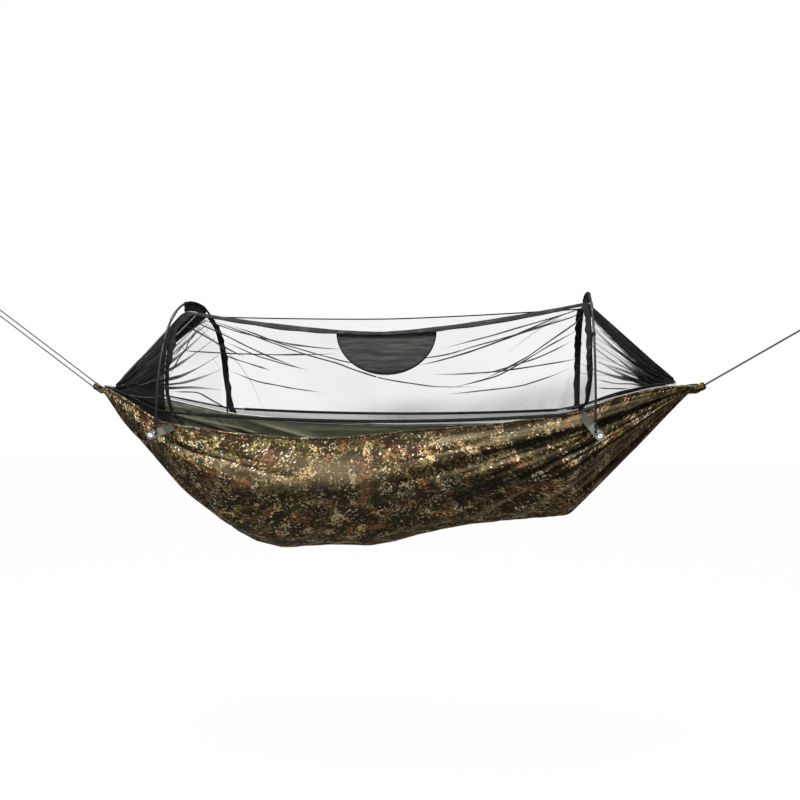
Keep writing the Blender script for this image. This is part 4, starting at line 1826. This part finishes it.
def pocket_finish():
    look = Finish("pocket_cloth", Roughness=0.7, Sheen_Weight=0.15, Sheen_Roughness=0.4)
    place = look.place()
    streaks = look.noise(look.stretched(place, 9, 1, 75), 1.0, 3.0)
    soft = look.noise(place, 20.0, 2.0)
    x, _, z = look.split(place)
    weave = (x * 2400).sine() * (z * 2400).sine()
    colour = look.mix(streaks.between(0.42, 0.62), (0.022, 0.025, 0.021), (0.048, 0.053, 0.044))
    look.bump(streaks + weave * 0.05, 0.003, 0.8)
    return look.show(Base_Color=colour, Roughness=0.6 + 0.2 * soft)


pocket_cloth = pocket_finish()
inset = POCKET_BINDING * 0.7
wide = half - inset
x = wide * np.sin(np.linspace(-0.985, 0.985, 61) * math.pi / 2)
share = np.linspace(0, 1, 23)
top, low = pocket_top(x)[:, None], pocket_edge(x, inset)[:, None]
z = top + (low - top) * share
x_grid = np.broadcast_to(x[:, None], z.shape)
edge = np.sin(math.pi * share)[None] * np.sin(math.pi * (x_grid / wide + 1) / 2)
for word, face, puff in POCKET_PANELS:
    wrinkle = POCKET_WRINKLE * soft_noise(x_grid * 9, z * 48, face * 2.0)
    wrinkle = wrinkle + POCKET_RIPPLE * soft_noise(x_grid * 20, z * 90, 4.0)
    y = pocket_y + face * (POCKET_CLOTH + puff * edge) + wrinkle * edge
    panel = Shape()
    panel_points = points_of(x_grid + POCKET_CENTRE, y, z)
    facing = np.broadcast_to(np.array((0, face, 0.0)), panel_points.shape)
    sheet_layers(panel, panel_points, np.stack([x_grid, z], axis=-1), POCKET_CLOTH, facing)
    panel.make(
        f"pocket_{word}_panel", pocket_cloth, "hammock", [f"pocket_{word}"], "pocket_cloth", sharp=SOFT_EDGE
    )
turns = np.linspace(math.pi, 2 * math.pi, 90)
inset = POCKET_BINDING / 2
corner = pocket_corner(half)
edge_line = points_of(
    POCKET_CENTRE + (half - inset) * np.cos(turns), pocket_y,
    corner + (middle[2] - POCKET_DEPTH + inset - corner) * -np.sin(turns),
)
binding = Shape()
swell = 1 + 0.05 * soft_noise(turns * 14, 0.0, 0.0)
binding.rod(edge_line, round_outline(POCKET_BINDING / 2, 10, 0.75), (0, 1, 0), swell, mapped=True)
binding_piece = binding.make("pocket_bound_edge", black_cloth, "hammock", ["pocket_binding"], "pocket_cloth")
stitched = [edge_line - (0, POCKET_STITCH_LIFT, 0)]
stitches = along_lines("pocket_stitches", stitched, zip_stitch_tree, POCKET_STITCH, black_thread)


# Studio. The hammock hangs over a plain white floor in soft white light, mostly from above, so its
# belly and the underside of its folds are darker.
FLOOR_HEIGHT = -2.05
FLOOR_LEFT, FLOOR_RIGHT, FLOOR_FRONT, FLOOR_BACK = -14.0, 18.0, -9.0, 16.0
GROUND_GREY = (0.35, 0.35, 0.35, 1)
WHITE = (1, 1, 1, 1)
WORLD_LIGHT = 0.20
# Lamps: name, place, what it points at, width and height, power in watts
LAMPS = (
    ("overhead_softbox", (1.6, -1.3, 2.0), (1.8, -0.1, -0.6), (3.0, 1.0), 210.0),
    ("front_softbox", (0.2, -3.6, 0.9), (1.7, 0, -0.7), (1.6, 1.2), 12.0),
)


def white_ground():
    """White where the camera sees it, with a faint shadow, and grey for the light that it throws back."""
    look = Finish("white_ground", Roughness=1.0, Specular_IOR_Level=0.0)
    seen = Signal(look, look.node("LightPath").socket.node.outputs["Is Camera Ray"])
    look.show(Base_Color=GROUND_GREY)
    glow = look.node("Emission", values={"Color": WHITE, "Strength": 1.09})
    both = look.node("MixShader", values={0: seen * 0.9, 1: Signal(look, look.shader.outputs[0]), 2: glow})
    look.feed(look.tree.nodes["Material Output"].inputs["Surface"], both)
    return look.material


ground_mesh = bpy.data.meshes.new("floor")
corners = (
    (FLOOR_LEFT, FLOOR_FRONT), (FLOOR_RIGHT, FLOOR_FRONT), (FLOOR_RIGHT, FLOOR_BACK), (FLOOR_LEFT, FLOOR_BACK)
)
ground_mesh.from_pydata([(*corner, FLOOR_HEIGHT) for corner in corners], [], [(0, 1, 2, 3)])
ground_mesh.materials.append(white_ground())
ground = bpy.data.objects.new("floor", ground_mesh)
bpy.context.scene.collection.objects.link(ground)

world = bpy.data.worlds.new("studio")
bpy.context.scene.world = world
world.use_nodes = True
tree = world.node_tree
tree.nodes.clear()
camera_ray = tree.nodes.new("ShaderNodeLightPath").outputs["Is Camera Ray"]
mixer = tree.nodes.new("ShaderNodeMixShader")
tree.links.new(camera_ray, mixer.inputs[0])
for slot, strength in ((1, WORLD_LIGHT), (2, 1.0)):
    background = tree.nodes.new("ShaderNodeBackground")
    background.inputs["Color"].default_value = WHITE
    background.inputs["Strength"].default_value = strength
    tree.links.new(background.outputs[0], mixer.inputs[slot])
tree.links.new(mixer.outputs[0], tree.nodes.new("ShaderNodeOutputWorld").inputs[0])

for name, spot, target, size, power in LAMPS:
    lamp = bpy.data.lights.new(name, "AREA")
    lamp.shape = "RECTANGLE"
    lamp.size, lamp.size_y = size
    lamp.energy = power
    light = bpy.data.objects.new(name, lamp)
    light.location = spot
    light.rotation_euler = (Vector(target) - Vector(spot)).to_track_quat("-Z", "Y").to_euler()
    bpy.context.scene.collection.objects.link(light)
bpy.context.scene.view_settings.view_transform = "Standard"
